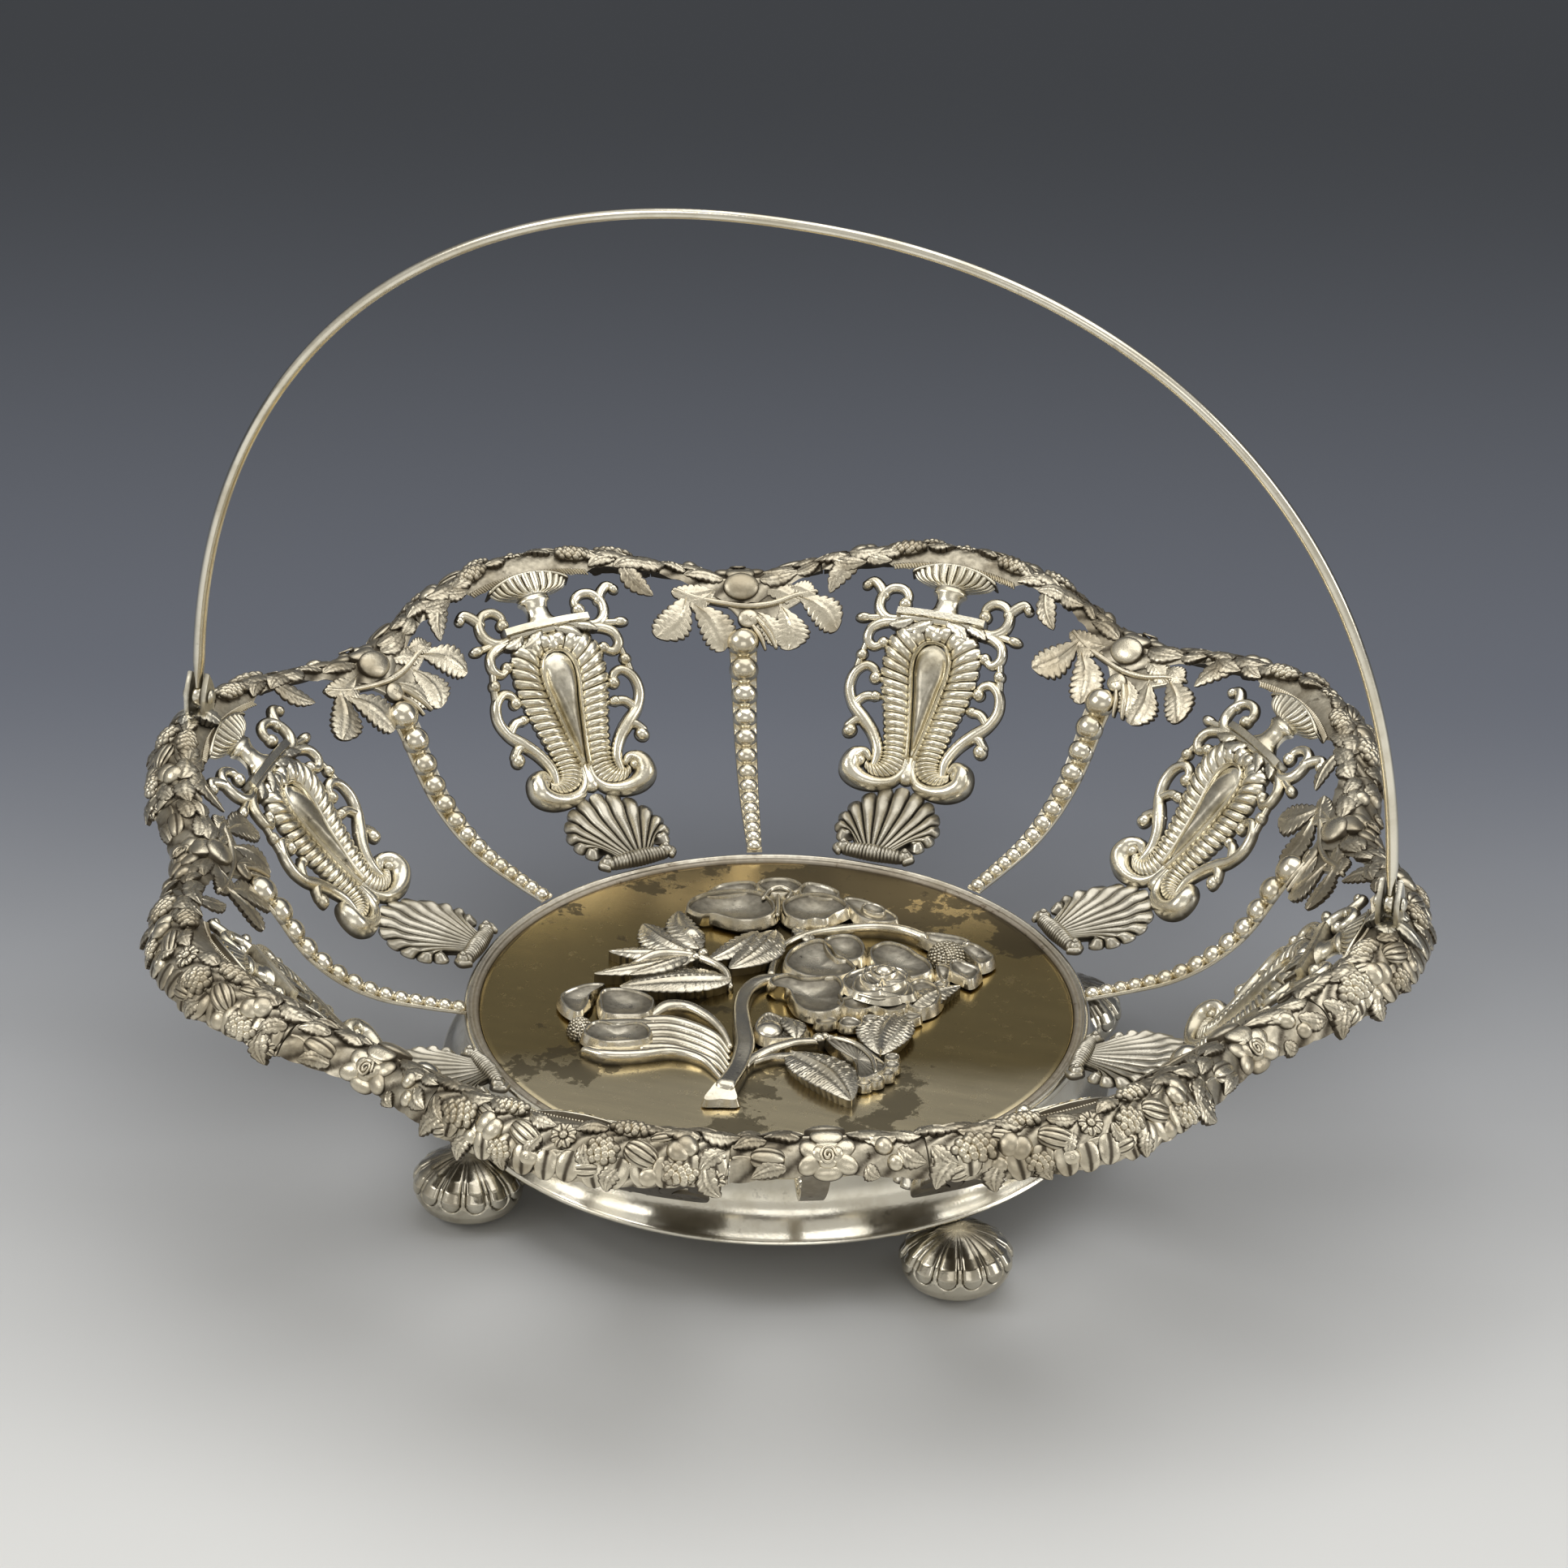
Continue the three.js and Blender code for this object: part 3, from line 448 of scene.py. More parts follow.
def dome(pattern, x, y, radius, height, base=0.0, rows=6, sides=14, squash=1.0, turn=0.0,
         bottom=0.0, flutes=0, soft=2.0):
    """Low round boss that rises from the base level, with its foot carried to the bottom."""
    k = np.linspace(0, np.pi / 2, rows)[:, None]
    angle = around(sides)
    wave = 1 - 0.1 * np.abs(np.cos(flutes * angle / 2)) * (flutes > 0) * np.cos(k)
    a = radius * np.cos(k) * np.cos(angle) * wave
    b = radius * squash * np.cos(k) * np.sin(angle) * wave
    a, b = turned(a, b, turn)
    top = np.stack([x + a, y + b, base + height * np.sin(k) + 0 * a], -1)
    foot_ring = top[:1].copy()
    foot_ring[..., 2] = bottom
    middle = np.repeat(foot_ring.mean(1, keepdims=True), sides, 1)
    deep = np.vstack([np.ones((2, sides)), (1 - np.sin(k)) ** soft + 0 * angle])
    pattern.grid(np.vstack([middle, foot_ring, top]), deep)


def heading(base, tip):
    """The base, the way from it to the tip, and the direction to the left of that way."""
    base, way = np.array(base, float), np.subtract(tip, base)
    return base, way, np.array([-way[1], way[0]]) / np.linalg.norm(way)


def leaf(pattern, base, tip, half, low, high, teeth=7, veins=7, rows=30, columns=11, bottom=0.0,
         bend=0.12, cup=0.5, thick=0.45, relief=1.0, tooth=0.24, under=1.0, blunt=False):
    """Leaf with saw teeth, a raised midrib and side veins, arched from low to high."""
    base, way, side = heading(base, tip)
    s = np.linspace(0, 1, rows)[:, None]
    t = np.linspace(-1, 1, columns)
    out = np.abs(t)
    # outline with saw teeth, swung a little to one side
    if blunt:
        outline = np.sin(np.pi * s ** 1.3) ** 0.6
    else:
        outline = np.sin(np.pi * s ** 0.82) ** 0.72 * (1 - 0.25 * s)
    saw = np.abs(np.sin(np.pi * s * teeth)) ** 0.7
    reach = half * (outline * (1.04 - tooth + tooth * saw) + 0.03)
    swing = np.sin(np.pi * s)
    middle = base + way * s + side * bend * half * 3 * swing
    flat = middle[:, None] + side * (reach * t)[..., None] + way * 0.06 * (out ** 2 * swing)[..., None]
    # side veins, and a midrib between two grooves, on an arched and cupped blade
    midrib, groove = 0.12, 0.22
    vein = np.abs(((s * 1.08 - 0.26 * out) * veins) % 1 - 0.5) * 2
    vein = np.clip(vein - 0.72, 0, 1) / 0.28 * (out > midrib) * outline
    ridge = np.exp(-(t / midrib) ** 2) * (1 - 0.6 * s) / max(relief, 0.6)
    arch = low + (high - low) * np.sin(np.pi * np.clip(s * 0.85 + 0.1, 0, 1))
    scale = half / 5 * relief
    w = arch - cup * out ** 2 * outline + (0.42 * ridge + 0.24 * vein) * scale
    w = w - 0.28 * scale * np.exp(-((out - groove) / 0.09) ** 2) * outline
    top = np.concatenate([flat, w[..., None]], -1)
    back = top[:, ::-1].copy()
    back[..., 2] = arch - thick - cup * out ** 2 * outline if bottom is None else bottom
    back[..., :2] = middle[:, None] + (back[..., :2] - middle[:, None]) * under
    # tarnish lies in the grooves, between the veins and along the edge
    deep = 0.62 * np.exp(-((out - groove) / 0.1) ** 2) - 0.3 * vein
    deep = (deep + 0.34 * (1 - vein) * (out > 0.3)) * relief + 0.75 * (out > 0.95) + 0 * s
    pattern.capped(np.concatenate([top, back], 1), np.hstack([deep, np.ones((rows, columns))]))


def inwards(edge, inset, level):
    """Rings of points from an edge to its middle, at shares of the way and at given levels."""
    flat = edge + (edge.mean(0) - edge) * inset[..., None]
    return np.concatenate([flat, (level + 0 * flat[..., 0])[..., None]], -1)


def dish(pattern, outline, height, depth, bottom, lip):
    """Boss with an upright side and a rounded lip; its face is hollowed by the depth, or
    domed where the depth is below 0."""
    edge = smooth(outline, 73, closed=True)[:-1, :2]
    inset = np.array([1, 0, 0, 0.012, 0.035, 0.07, 0.12, 0.2, 0.34, 0.5, 0.68, 0.85, 1])[:, None]
    drop = np.array([0, 0, 0.25, 0.07, 0, 0.03, 0.16, 0.42, 0.7, 0.88, 0.97, 1, 1])[:, None]
    level = height - drop * np.where(inset > 0.06, depth, lip)
    level[:2] = bottom
    deep = np.interp(inset, [0, 0.01, 0.05, 0.12, 0.3, 1], [0.3, 0.15, 0, 0.3, 0.55, 0.5])
    deep[0] = 1
    pattern.grid(inwards(edge, inset, level), deep)


def petal(pattern, outline, height, hollow=1.1, side=2.2, bottom=0.0, steps=72, chase=0, tilt=0.0,
          face=1.0):
    """Thick petal with sloping sides, a polished bevel and rim, and a hollowed satin face."""
    edge = smooth(outline, steps + 1, closed=True)[:-1, :2]
    away = np.linalg.norm(edge - edge.mean(0), axis=1)
    size = min(1.0, away.mean() / 5)
    low = max(bottom + 0.3, height - side)
    # rings from the foot up the side and over the bevel, then down into the hollow
    rim = np.array([1.2, 0, 0.75, 1.0, 1.35, 1.7])[:, None] * size / away
    inner = np.array([0.25, 0.5, 0.75, 1])[:, None]
    inset = np.vstack([rim, rim[-1:] + (1 - rim[-1:]) * inner])
    fall = 0.45 + 0.55 * np.sin(np.pi / 2 * inner[:, 0])
    level = np.concatenate([[bottom, low, height - 0.4 * size, height, height, height - 0.45 * hollow],
                            height - hollow * fall])[:, None]
    deep = np.array([1, 0.3, 0, 0, 0, 0.8, 0.72, 0.55, 0.45, 0.4])[:, None] + 0 * inset
    deep[5:] *= face
    if chase:
        grooves = np.abs(np.sin(np.linspace(0, np.pi * chase, steps, endpoint=False)))
        level = level - 0.3 * grooves * (level < height) * (level > low) * (1 - inset)
        deep = deep + 0.25 * (grooves - 0.5) * (inset > 0.1)
    points = inwards(edge, inset, level)
    points[..., 2] += tilt * (points[..., 1] - edge[:, 1].mean()) * (level > low)
    foot_point = np.repeat(points[:1].mean(1, keepdims=True), steps, 1)
    pattern.grid(np.concatenate([foot_point, points]), np.vstack([deep[:1], deep]))


def oval(x, y, rx, ry, turn=0.0, wave=0.0, phase=0.0, count=24):
    """Outline of a petal: an oval with three waves in its edge."""
    a = around(count)
    k = 1 + wave * np.cos(3 * a + phase)
    px, py = turned(rx * k * np.cos(a), ry * k * np.sin(a), math.radians(turn))
    return np.stack([x + px, y + py], 1)


def berry(pattern, x, y, radius, height, seeds, squash):
    """Round fruit covered with small seeds in rings."""
    dome(pattern, x, y, radius * 0.93, height * 0.9, 0, 7, 16, squash)
    ring_count = int(radius / seeds * 1.35)
    for ring_number in range(ring_count):
        tilt = (ring_number + 0.35) / ring_count * np.pi / 2
        reach, level = radius * 0.9 * math.cos(tilt), height * 0.87 * math.sin(tilt)
        count = max(1, round(2 * np.pi * reach / (seeds * 1.9)))
        for k in range(count):
            a = (k + 0.5 * (ring_number % 2)) * 2 * np.pi / count
            dome(pattern, x + reach * math.cos(a), y + reach * squash * math.sin(a),
                 seeds, seeds * 0.85, level, 3, 6, bottom=level - seeds * 0.7)


spray_silver = silver("spray_silver", (0.80, 0.74, 0.605), (0.48, 0.43, 0.325),
                      (0.075, 0.066, 0.052), 0.15, 0.9, 0.7, (0.15, 0.95))
spray_turn = math.radians(17.7)


def on_plate(points):
    """Lays a flat pattern on the plate, turned as the spray is."""
    x, y, z = points.T
    return np.stack([*turned(x, y, spray_turn), plate_top + z + 0.02], 1)


def show_spray(name, pattern, node):
    show(name, pattern.mesh(name, on_plate, sharp=42), spray_silver, node)


stem = Pattern()
rib(stem, [(-10.9, -39, 2.5), (-8.2, -30, 2.2), (-6.9, -21, 2.3), (-7.6, -11, 2.2), (-7.9, -2, 1.9),
           (-6.6, 4.6, 1.8), (-3.4, 9.4, 1.7), (0.4, 11.4, 1.3)], 50, 1.55, 14, flat=0.9)
petal(stem, [(-16.2, -44.4), (-12, -44.6), (-7.8, -44.2), (-8, -40.4), (-8.8, -37.4), (-11, -36.4),
             (-13.4, -37.6), (-15.2, -40.6)], 2.6, 0.0, 2.2, tilt=0.2, steps=56, face=0.0)
rib(stem, [(-6.8, -29.4, 1.2), (-4.2, -25.2, 1.3), (0.6, -21.2, 1.4), (4.6, -18.8, 1.3),
           (8.8, -17.9, 1.2)], 30, 2.3, 10, flat=0.8)
rib(stem, [(-5.2, -27.6, 0.9), (-1, -24.9, 0.9), (3.6, -24.2, 0.9), (6, -24.8, 0.8)], 20, 2.8, 8,
    flat=0.5)
dome(stem, 9.6, -17.2, 1.6, 1.2, 2.3)
dome(stem, 11.0, -16.4, 1.1, 1.0, 2.3)
leaf(stem, (3.2, -23.2), (17, -43.2), 6.6, 1.9, 3.1, teeth=13, veins=15, bend=0.10, cup=0.9,
     rows=92, columns=19, under=0.84, tooth=0.08)
petal(stem, [(10.8, -17), (14, -16.2), (17.8, -18), (21.2, -21.6), (23.8, -26), (25.4, -30),
             (22.6, -34), (19, -35.8), (17.8, -30), (15, -25.4), (12, -21)], 3.0, 0.9, chase=30,
      steps=96)
rib(stem, [(12, -16.6, 0.5), (17.6, -19.6, 0.6), (21.4, -25.4, 0.6), (22.4, -31.6, 0.5)], 30, 1.2, 6,
    base=2.4)
for x, y in ((26, -24.6), (26, -28), (24.8, -31.4), (22.4, -34.2), (19.8, -35.8)):
    petal(stem, oval(x, y, 2.1, 1.9, 30, count=14), 2.5, 0.5, 1.9, steps=28)
show_spray("cut_stem", stem, "spray_stem")

tulip = Pattern()
petal(tulip, [(-49.8, -1.4), (-47.4, 2.4), (-42, 5.2), (-38.4, 4.8), (-41, 1), (-41.8, -4.2),
              (-44.6, -9.6), (-48, -7)], 3.0, 1.2)
petal(tulip, [(-40, 1.8), (-35, 3), (-29.4, 0.8), (-26.8, -2.8), (-28.4, -9.4), (-34, -10.8),
              (-39.2, -9.8), (-40.8, -4)], 3.3, 1.3)
petal(tulip, [(-41.4, -12.4), (-36, -13), (-29.6, -12.6), (-27.2, -16), (-27.8, -20.4), (-34, -22.6),
              (-39.4, -22.6), (-44, -18.2)], 3.4, 1.3, 2.6)
rib(tulip, [(-40.4, -11.4, 1.0), (-34, -11.8, 1.3), (-27.6, -11, 1.1)], 20, 2.4, 8, flat=0.4)
berry(tulip, -44, -12.8, 3.0, 3.6, 0.55, 1.3)
# the bright single blade above, then the satin ones side by side, and the long one below
rib(tulip, [(-28, -7, 1.2), (-24.6, -4, 1.7), (-20.6, -3.6, 1.6), (-15.6, -7.6, 1.4),
            (-12.2, -13, 1.1), (-10.2, -19, 0.7)], 44, 1.95, 12, flat=0.7)
for k in range(5):
    share = k / 4
    start, end = -10.2 - 10.6 * share, -20.8 - 11 * share
    half = 1.5 - 0.15 * share
    rib(tulip, [(-29.6, start, half * 1.05), (-24, start + 0.2, half * 1.1), (-18.4, start - 2.0, half),
                (-13.4, (start + end) / 2, half * 0.72), (-10.4, end, 0.45)],
        44, 1.85 - 0.1 * k, 10, flat=0.45)
rib(tulip, [(-42.6, -22.6, 1.2), (-38, -25.2, 1.5), (-31, -24.6, 1.4), (-23, -22.8, 1.3),
            (-16.4, -25.6, 1.1), (-11.8, -33, 0.6)], 50, 1.9, 10, flat=0.6)
show_spray("tulip", tulip, "spray_tulip")

left_leaves = Pattern()
for base, tip, half, low, high, shape in (
        ((-10.4, 8.4), (-35.6, 4.2), 5.6, 2.2, 3.2,
         dict(teeth=13, veins=15, rows=92, columns=19, cup=0.9, under=0.84, tooth=0.08, bend=-0.04)),
        ((-11.2, 9.6), (-30, 14.6), 4.2, 1.6, 2.6,
         dict(teeth=9, veins=12, rows=64, columns=15, cup=0.8, under=0.84, tooth=0.14)),
        ((-18, 18.6), (-41.6, 9.4), 3.6, 2.4, 3.4,
         dict(teeth=10, veins=10, rows=62, columns=13, cup=0.8, under=0.8)),
        ((-20.4, 17.4), (-33.6, 8.6), 2.8, 2.8, 3.8, dict(veins=8, cup=0.7, rows=44)),
        ((-19.4, 19), (-31, 33), 5.6, 2.2, 3.4,
         dict(teeth=11, veins=11, rows=68, columns=15, cup=0.9, under=0.84)),
        ((-18, 21), (-23, 38.6), 4.2, 2.6, 3.8,
         dict(teeth=10, veins=10, rows=62, columns=13, cup=0.8, under=0.84)),
        ((-22, 20.6), (-38.6, 20.6), 3.4, 1.9, 3.0, dict(teeth=9, veins=9, rows=56, cup=0.8))):
    leaf(left_leaves, base, tip, half, low, high, **shape)
dome(left_leaves, -19.8, 27.6, 3.3, 3.0, 1.5, 8, 48, flutes=12)
rib(left_leaves, [(-10.6, 7, 0.8), (-11.8, 12.4, 1.1), (-15.6, 16.6, 1.2), (-21, 19, 1.3),
                  (-27.6, 18.2, 1.5), (-33, 14.8, 1.0)], 40, 2.6, 9, flat=0.4)
for x, y in ((-18.6, 17.8), (-20.4, 19.8), (-17, 19.8)):
    dome(left_leaves, x, y, 1.2, 1.0, 2.6)
show_spray("left_leaves", left_leaves, "spray_left_leaves")

upper_rose = Pattern()
for outline, level, hollow, steps in (
        ([(-17.6, 45), (-14.8, 51.4), (-10, 53.6), (-5, 53.2), (-4, 49), (-7, 46.6), (-12, 45)],
         3.0, 1.485, 72),
        ([(4, 47.6), (5.6, 53.6), (11, 52.8), (15, 48.6), (13.6, 45), (9, 45)], 3.0, 1.485, 72),
        ([(-6, 52), (-2.4, 55.2), (3.4, 55), (6.4, 51), (3.4, 47), (-3.4, 47)], 3.2, 1.62, 72),
        ([(-22, 38.6), (-20.8, 43.6), (-15.6, 47.6), (-8.6, 49), (-3.4, 47.4), (-0.4, 43), (-0.2, 37),
          (-4.6, 33.2), (-9.4, 32.8), (-13.4, 34.4), (-15.6, 35.6), (-18.8, 35.4)], 3.7, 2.16, 120),
        ([(0.2, 43), (1, 36.6), (5.4, 33.2), (8.4, 34.2), (11, 33.8), (13.8, 37), (17, 41), (15, 45.4),
          (10.4, 48.2), (4.6, 47.4)], 3.6, 2.025, 110)):
    petal(upper_rose, outline, level, hollow, 2.7, steps=steps)
rib(upper_rose, [(-3.6, 44.4, 0.5), (-1.8, 48.4, 0.7), (0.4, 49.4, 0.8), (2.8, 47.6, 0.7),
                 (2.2, 44.8, 0.5)], 30, 1.4, 8, base=3.0)
rib(upper_rose, [(-0.2, 36.6, 0.5), (-0.1, 41, 0.6), (-0.2, 45.6, 0.5)], 20, 1.3, base=3.2)
petal(upper_rose, [(14.6, 47), (20, 46.4), (25.8, 41.6), (28.4, 36.4), (24.6, 34.6), (18.4, 37),
                   (16, 41)], 2.8, steps=80)
petal(upper_rose, oval(22, 41, 3.6, 2.6, 140), 3.3, 0.8, steps=48)
leaf(upper_rose, (-0.4, 31.4), (-10.8, 13.8), 5.4, 1.9, 3.0, teeth=12, veins=14, rows=86, cup=0.9,
     columns=17, under=0.84, tooth=0.08)
leaf(upper_rose, (-4.6, 31.4), (-16.2, 17.4), 3.8, 1.6, 2.5, teeth=10, veins=12, cup=0.7, rows=62,
     columns=13, under=0.84)
leaf(upper_rose, (3.6, 33.6), (7.6, 26.6), 2.2, 1.4, 2.2, teeth=5, veins=6, rows=36)
show_spray("upper_rose", upper_rose, "spray_upper_rose")

lower_rose = Pattern()
for outline, level, hollow, steps in (
        ([(10, 27), (13.6, 29.6), (17.8, 29.2), (20.2, 26), (20.8, 21.4), (19, 17), (14, 16),
          (10.8, 20)], 3.2, 1.62, 80),
        ([(20.4, 19), (21, 24), (24.8, 26.8), (29.4, 25), (32.8, 21), (35.4, 17.4), (36, 13),
          (32.6, 9.6), (28, 9), (23, 12)], 3.2, 1.755, 96),
        ([(0.8, 14.6), (2, 20.8), (5.4, 25), (9.6, 27), (12.4, 24.4), (14.4, 20), (17, 17),
          (18.6, 12), (14, 8), (7, 8), (3, 10.6)], 3.5, 2.025, 100),
        ([(13, -1), (15.4, -5), (19, -5.6), (22.4, -4.6), (26, -6), (29.6, -4.6), (30.4, 0), (26, 3),
          (19, 2.4)], 3.1, 1.35, 90),
        ([(29, -2.6), (31.4, 2), (29.6, 7.4), (32.6, 10), (36.2, 8), (38, 3.4), (36.4, -2.4),
          (32.4, -5.2)], 3.1, 1.485, 80),
        ([(-2.4, 7.4), (1.2, 10.2), (5, 9), (9, 9.2), (14, 9.6), (16, 5), (15.4, 0.6), (16, -3.6),
          (12.4, -8), (8, -8.4), (4.4, -5.6), (2.6, -1), (1.6, 2.6), (-1.6, 4)], 3.7, 2.025, 110)):
    petal(lower_rose, outline, level, hollow, 2.7, steps=steps)
for x, y, rx, ry, turn in (
        (11, -9, 3.0, 2.2, 10), (16.6, -9.6, 3.0, 2.6, -10), (21.4, -8, 2.8, 2.2, 10),
        (26, -7, 2.6, 2.2, -10), (30.4, -6.6, 2.6, 2.0, 20), (37.4, 8.2, 2.6, 2.0, 60)):
    petal(lower_rose, oval(x, y, rx, ry, turn, 0.06, 0.4, 16), 2.5, 0.6, 1.9, steps=40)
# heart: thin folds, each a nested cup a little higher than the last
for x, y, rx, ry, turn, level in (
        (23.0, 6.2, 8.4, 8.6, 20, 3.9), (27, 3.4, 5.6, 4.4, -20, 4.1), (20.4, 4.6, 4.4, 5.4, 10, 4.2),
        (24.4, 8.2, 6.0, 6.2, 0, 4.3), (21.6, 7.2, 3.0, 4.2, -10, 4.5), (26.6, 7.6, 3.4, 3.8, 10, 4.5),
        (24.2, 9.8, 3.6, 3.2, 0, 4.8)):
    petal(lower_rose, oval(x, y, rx, ry, turn, 0.07, x, 20), level, 0.9, 1.4, bottom=1.6, steps=64)
dome(lower_rose, 24.2, 10.4, 2.1, 1.5, 4.0, 7, 24, bottom=3)
rib(lower_rose, [(18.6, 0.4, 0.35), (22.6, -1.4, 0.45), (27.6, -0.4, 0.4)], 20, 1.3, 6, base=3.6)
leaf(lower_rose, (29.4, -4.4), (41.6, 8.6), 4.2, 1.6, 2.6, teeth=10, veins=11, rows=62, cup=0.8,
     columns=13, under=0.84)
leaf(lower_rose, (27.4, -5), (23.4, -23.2), 6.8, 1.9, 3.0, teeth=12, veins=13, rows=86, cup=0.9,
     columns=19, under=0.84, tooth=0.10, bend=-0.06)
petal(lower_rose, [(-2.2, -5.6), (1.4, -7.6), (7, -10.6), (7.8, -14), (6.2, -17.4), (1.6, -18.8),
                   (-3.4, -18.2), (-5.6, -14), (-5, -9.6)], 2.7, 0.8, 2.0, chase=26, steps=80)
dome(lower_rose, -1.6, -13.2, 3.3, 1.6, 1.9, 8, 24, 1.1)
leaf(lower_rose, (1.8, -8.6), (4.6, -18.2), 2.8, 2.4, 3.4, veins=9, cup=0.6, rows=44)
show_spray("lower_rose", lower_rose, "spray_lower_rose")

sprig = Pattern()
rib(sprig, [(-1.4, 12, 1.0), (-0.6, 19, 0.9), (1.6, 26, 0.9), (7.2, 31, 1.0), (14, 32.8, 1.2),
            (22, 34, 1.3), (28.6, 32.6, 1.4), (33.6, 29.4, 1.4)], 60, 2.4, 10, flat=0.7)
for calyx, level in (
        ([(31.2, 30.6), (36, 31.6), (41, 30.4), (45, 27), (41, 24), (35.4, 25.4)], 2.9),
        ([(42, 27.6), (46, 26.4), (50.2, 20), (46.8, 16), (43, 20.4), (41.4, 24)], 2.9),
        ([(39.6, 19.4), (43.6, 18.2), (47, 14.6), (44.2, 8.8), (41, 11), (38.6, 14)], 2.9),
        ([(36.6, 18), (39.4, 16.8), (39.6, 12.4), (38, 8.6), (35.8, 12.8)], 2.5)):
    petal(sprig, calyx, level, 1.2, 2.3, steps=56)
berry(sprig, 38.8, 23, 4.6, 4.6, 0.62, 1.12)
show_spray("berry_sprig", sprig, "spray_berry_sprig")


# Scallop shells: eight die-struck fans of thirteen rounded flutes, each rising from a ribbed
# roll that is soldered on the plate ring.
wall_flare, wall_rise = 68.6, 48.5
wall_start = 0.9 / wall_rise


def wall_line(fractions):
    """A line up the wall, given as shares of its flare and rise, as [radius, height, length]."""
    share = np.array(fractions, float)
    run = smooth(np.stack([ring_radius + wall_flare * share[:, 0],
                           ring_top + wall_rise * share[:, 1]], 1), 500)
    step = np.linalg.norm(np.diff(run, axis=0), axis=1)
    return np.column_stack([run, np.concatenate([[0], np.cumsum(step)])])


def bent_to(line, up=1.0, top_down=False):
    """Bends a flat pattern to the wall: x goes sideways, y up the wall, z into the bowl."""
    r, z, length = line.T
    dr, dz = np.gradient(r, length), np.gradient(z, length)

    def place(points):
        u, v, w = points.T
        v = v * up + (length[-1] if top_down else 0)
        t = np.clip(v, 0, length[-1])
        nr, nz = np.interp(t, length, dr), np.interp(t, length, dz)
        reach = np.interp(t, length, r) + nr * (v - t)
        angle = -u / reach
        rr = reach - nz * w
        return np.stack([rr * np.cos(angle), rr * np.sin(angle),
                         np.interp(t, length, z) + nz * (v - t) + nr * w], 1)
    return place


urn_line = wall_line([(0, wall_start), (0.155, 0.04), (0.32, 0.1), (0.455, 0.25), (0.58, 0.446),
                      (0.714, 0.7), (0.777, 0.765), (0.859, 0.856), (0.96, 0.94)])
wall_scale = urn_line[-1, 2] / 83
on_wall = bent_to(urn_line, wall_scale)
shell_silver = silver("shell_silver", (0.62, 0.58, 0.485), (0.38, 0.345, 0.27),
                      (0.08, 0.066, 0.048), 0.27, 0.9, 0.9, (0.15, 0.85))
lobes = 8
flutes, flute_steps = 13, 12
fan_angle, fan_reach, fan_rise = math.radians(124), 10.9, 13.3
foot_half, foot_level = 4.7, 3
column = np.arange(flutes * flute_steps + 1) / flute_steps
flute_turn = (column - 0.5) / (flutes - 1) * 2 - 1
in_flute = np.abs(column % 1 - 0.5) * 2
round_top = np.sqrt(np.clip(1 - in_flute ** 2, 0, 1))
rows = np.linspace(0, 1, 22)[:, None]
fan = fan_angle * flute_turn
reach = fan_reach + 1.7 * round_top ** 0.9
start_u = foot_half * np.clip(flute_turn, -1, 1)
shell_u = start_u + (reach * np.sin(fan) - start_u) * rows ** 0.92
shell_v = (foot_level + (fan_rise + reach * np.cos(fan) - foot_level) * rows
           + 11 * flute_turn ** 2 * rows * (1 - rows))
bulb = 0.42 * np.exp(-((rows - 0.84) / 0.11) ** 2)
swell = 0.25 + 0.62 * np.sin(np.pi * np.clip(0.12 + 0.8 * rows, 0, 1)) + bulb
shell_w = 0.1 + 1.8 * swell * (0.12 + 0.88 * round_top) * np.sqrt(1 - 0.85 * rows ** 12)
shell_top = np.stack([shell_u, shell_v, shell_w], -1)
shell_back = shell_top[::-1].copy()
shell_back[..., 2] = np.minimum(shell_back[..., 2] - 0.7, -0.1)
shell_deep = np.clip(in_flute - 0.62, 0, 1) * 2.6 + 0.3 * (1 - rows) ** 2
shell = Pattern()
shell.capped(np.concatenate([shell_top, shell_back]).transpose(1, 0, 2),
             np.concatenate([shell_deep, np.full_like(shell_deep, 0.8)]).T)
rib(shell, [(-6.4, 1.5, 1.7), (0, 1.2, 2.25), (6.4, 1.5, 1.7)], 64, 1.25, 9, bottom=-0.5, ridges=15,
    depth=0.2)
for mirror in (1, -1):
    dome(shell, mirror * 7.6, 2.4, 1.75, 2.2, 0, 7, 18, bottom=-0.5)
    dome(shell, mirror * 7.6, 2.4, 0.8, 0.8, 1.9, 4, 12, bottom=1.4)
    rib(shell, [(mirror * 8.4, 3.6, 0.6), (mirror * 9.4, 2.2, 0.75), (mirror * 8.2, 0.4, 0.7)], 16,
        1.6, 6, bottom=-0.4)
show_round("shell", shell.mesh("shell", on_wall), shell_silver, "scallop_shell", 0,
           lobes)


# Urn panels: eight openwork castings. Fluted lobes fan out round a teardrop boss and run down
# into two volutes; above are a slab, a neck and a fluted cup, with scrolls at both sides.
cast_silver = silver("cast_silver", (0.89, 0.835, 0.69), (0.58, 0.52, 0.38), (0.075, 0.058, 0.037),
                     0.18, 0.92, 0.8, (0.17, 0.86))
urn = Pattern()
urn_back = -0.45
drop_line = [(0, 33.6), (0.9, 37.5), (1.8, 43), (2.9, 50), (3.8, 55.4), (3.2, 59.6), (0, 61.4),
             (-3.2, 59.6), (-3.8, 55.4), (-2.9, 50), (-1.8, 43), (-0.9, 37.5)]
dish(urn, drop_line, 1.2, -2.2, -0.4, 0.5)
inner_line = [(0, 62.2), (2.6, 61.6), (4.2, 59.6), (4.9, 57), (4.8, 54.6), (4.4, 52), (3.9, 49),
              (3.3, 46), (2.7, 43), (2.1, 40), (1.6, 37), (1.2, 34), (1.4, 31.2), (2.8, 28.9),
              (5.4, 27.6), (8.4, 27.7), (10.8, 29.4)]
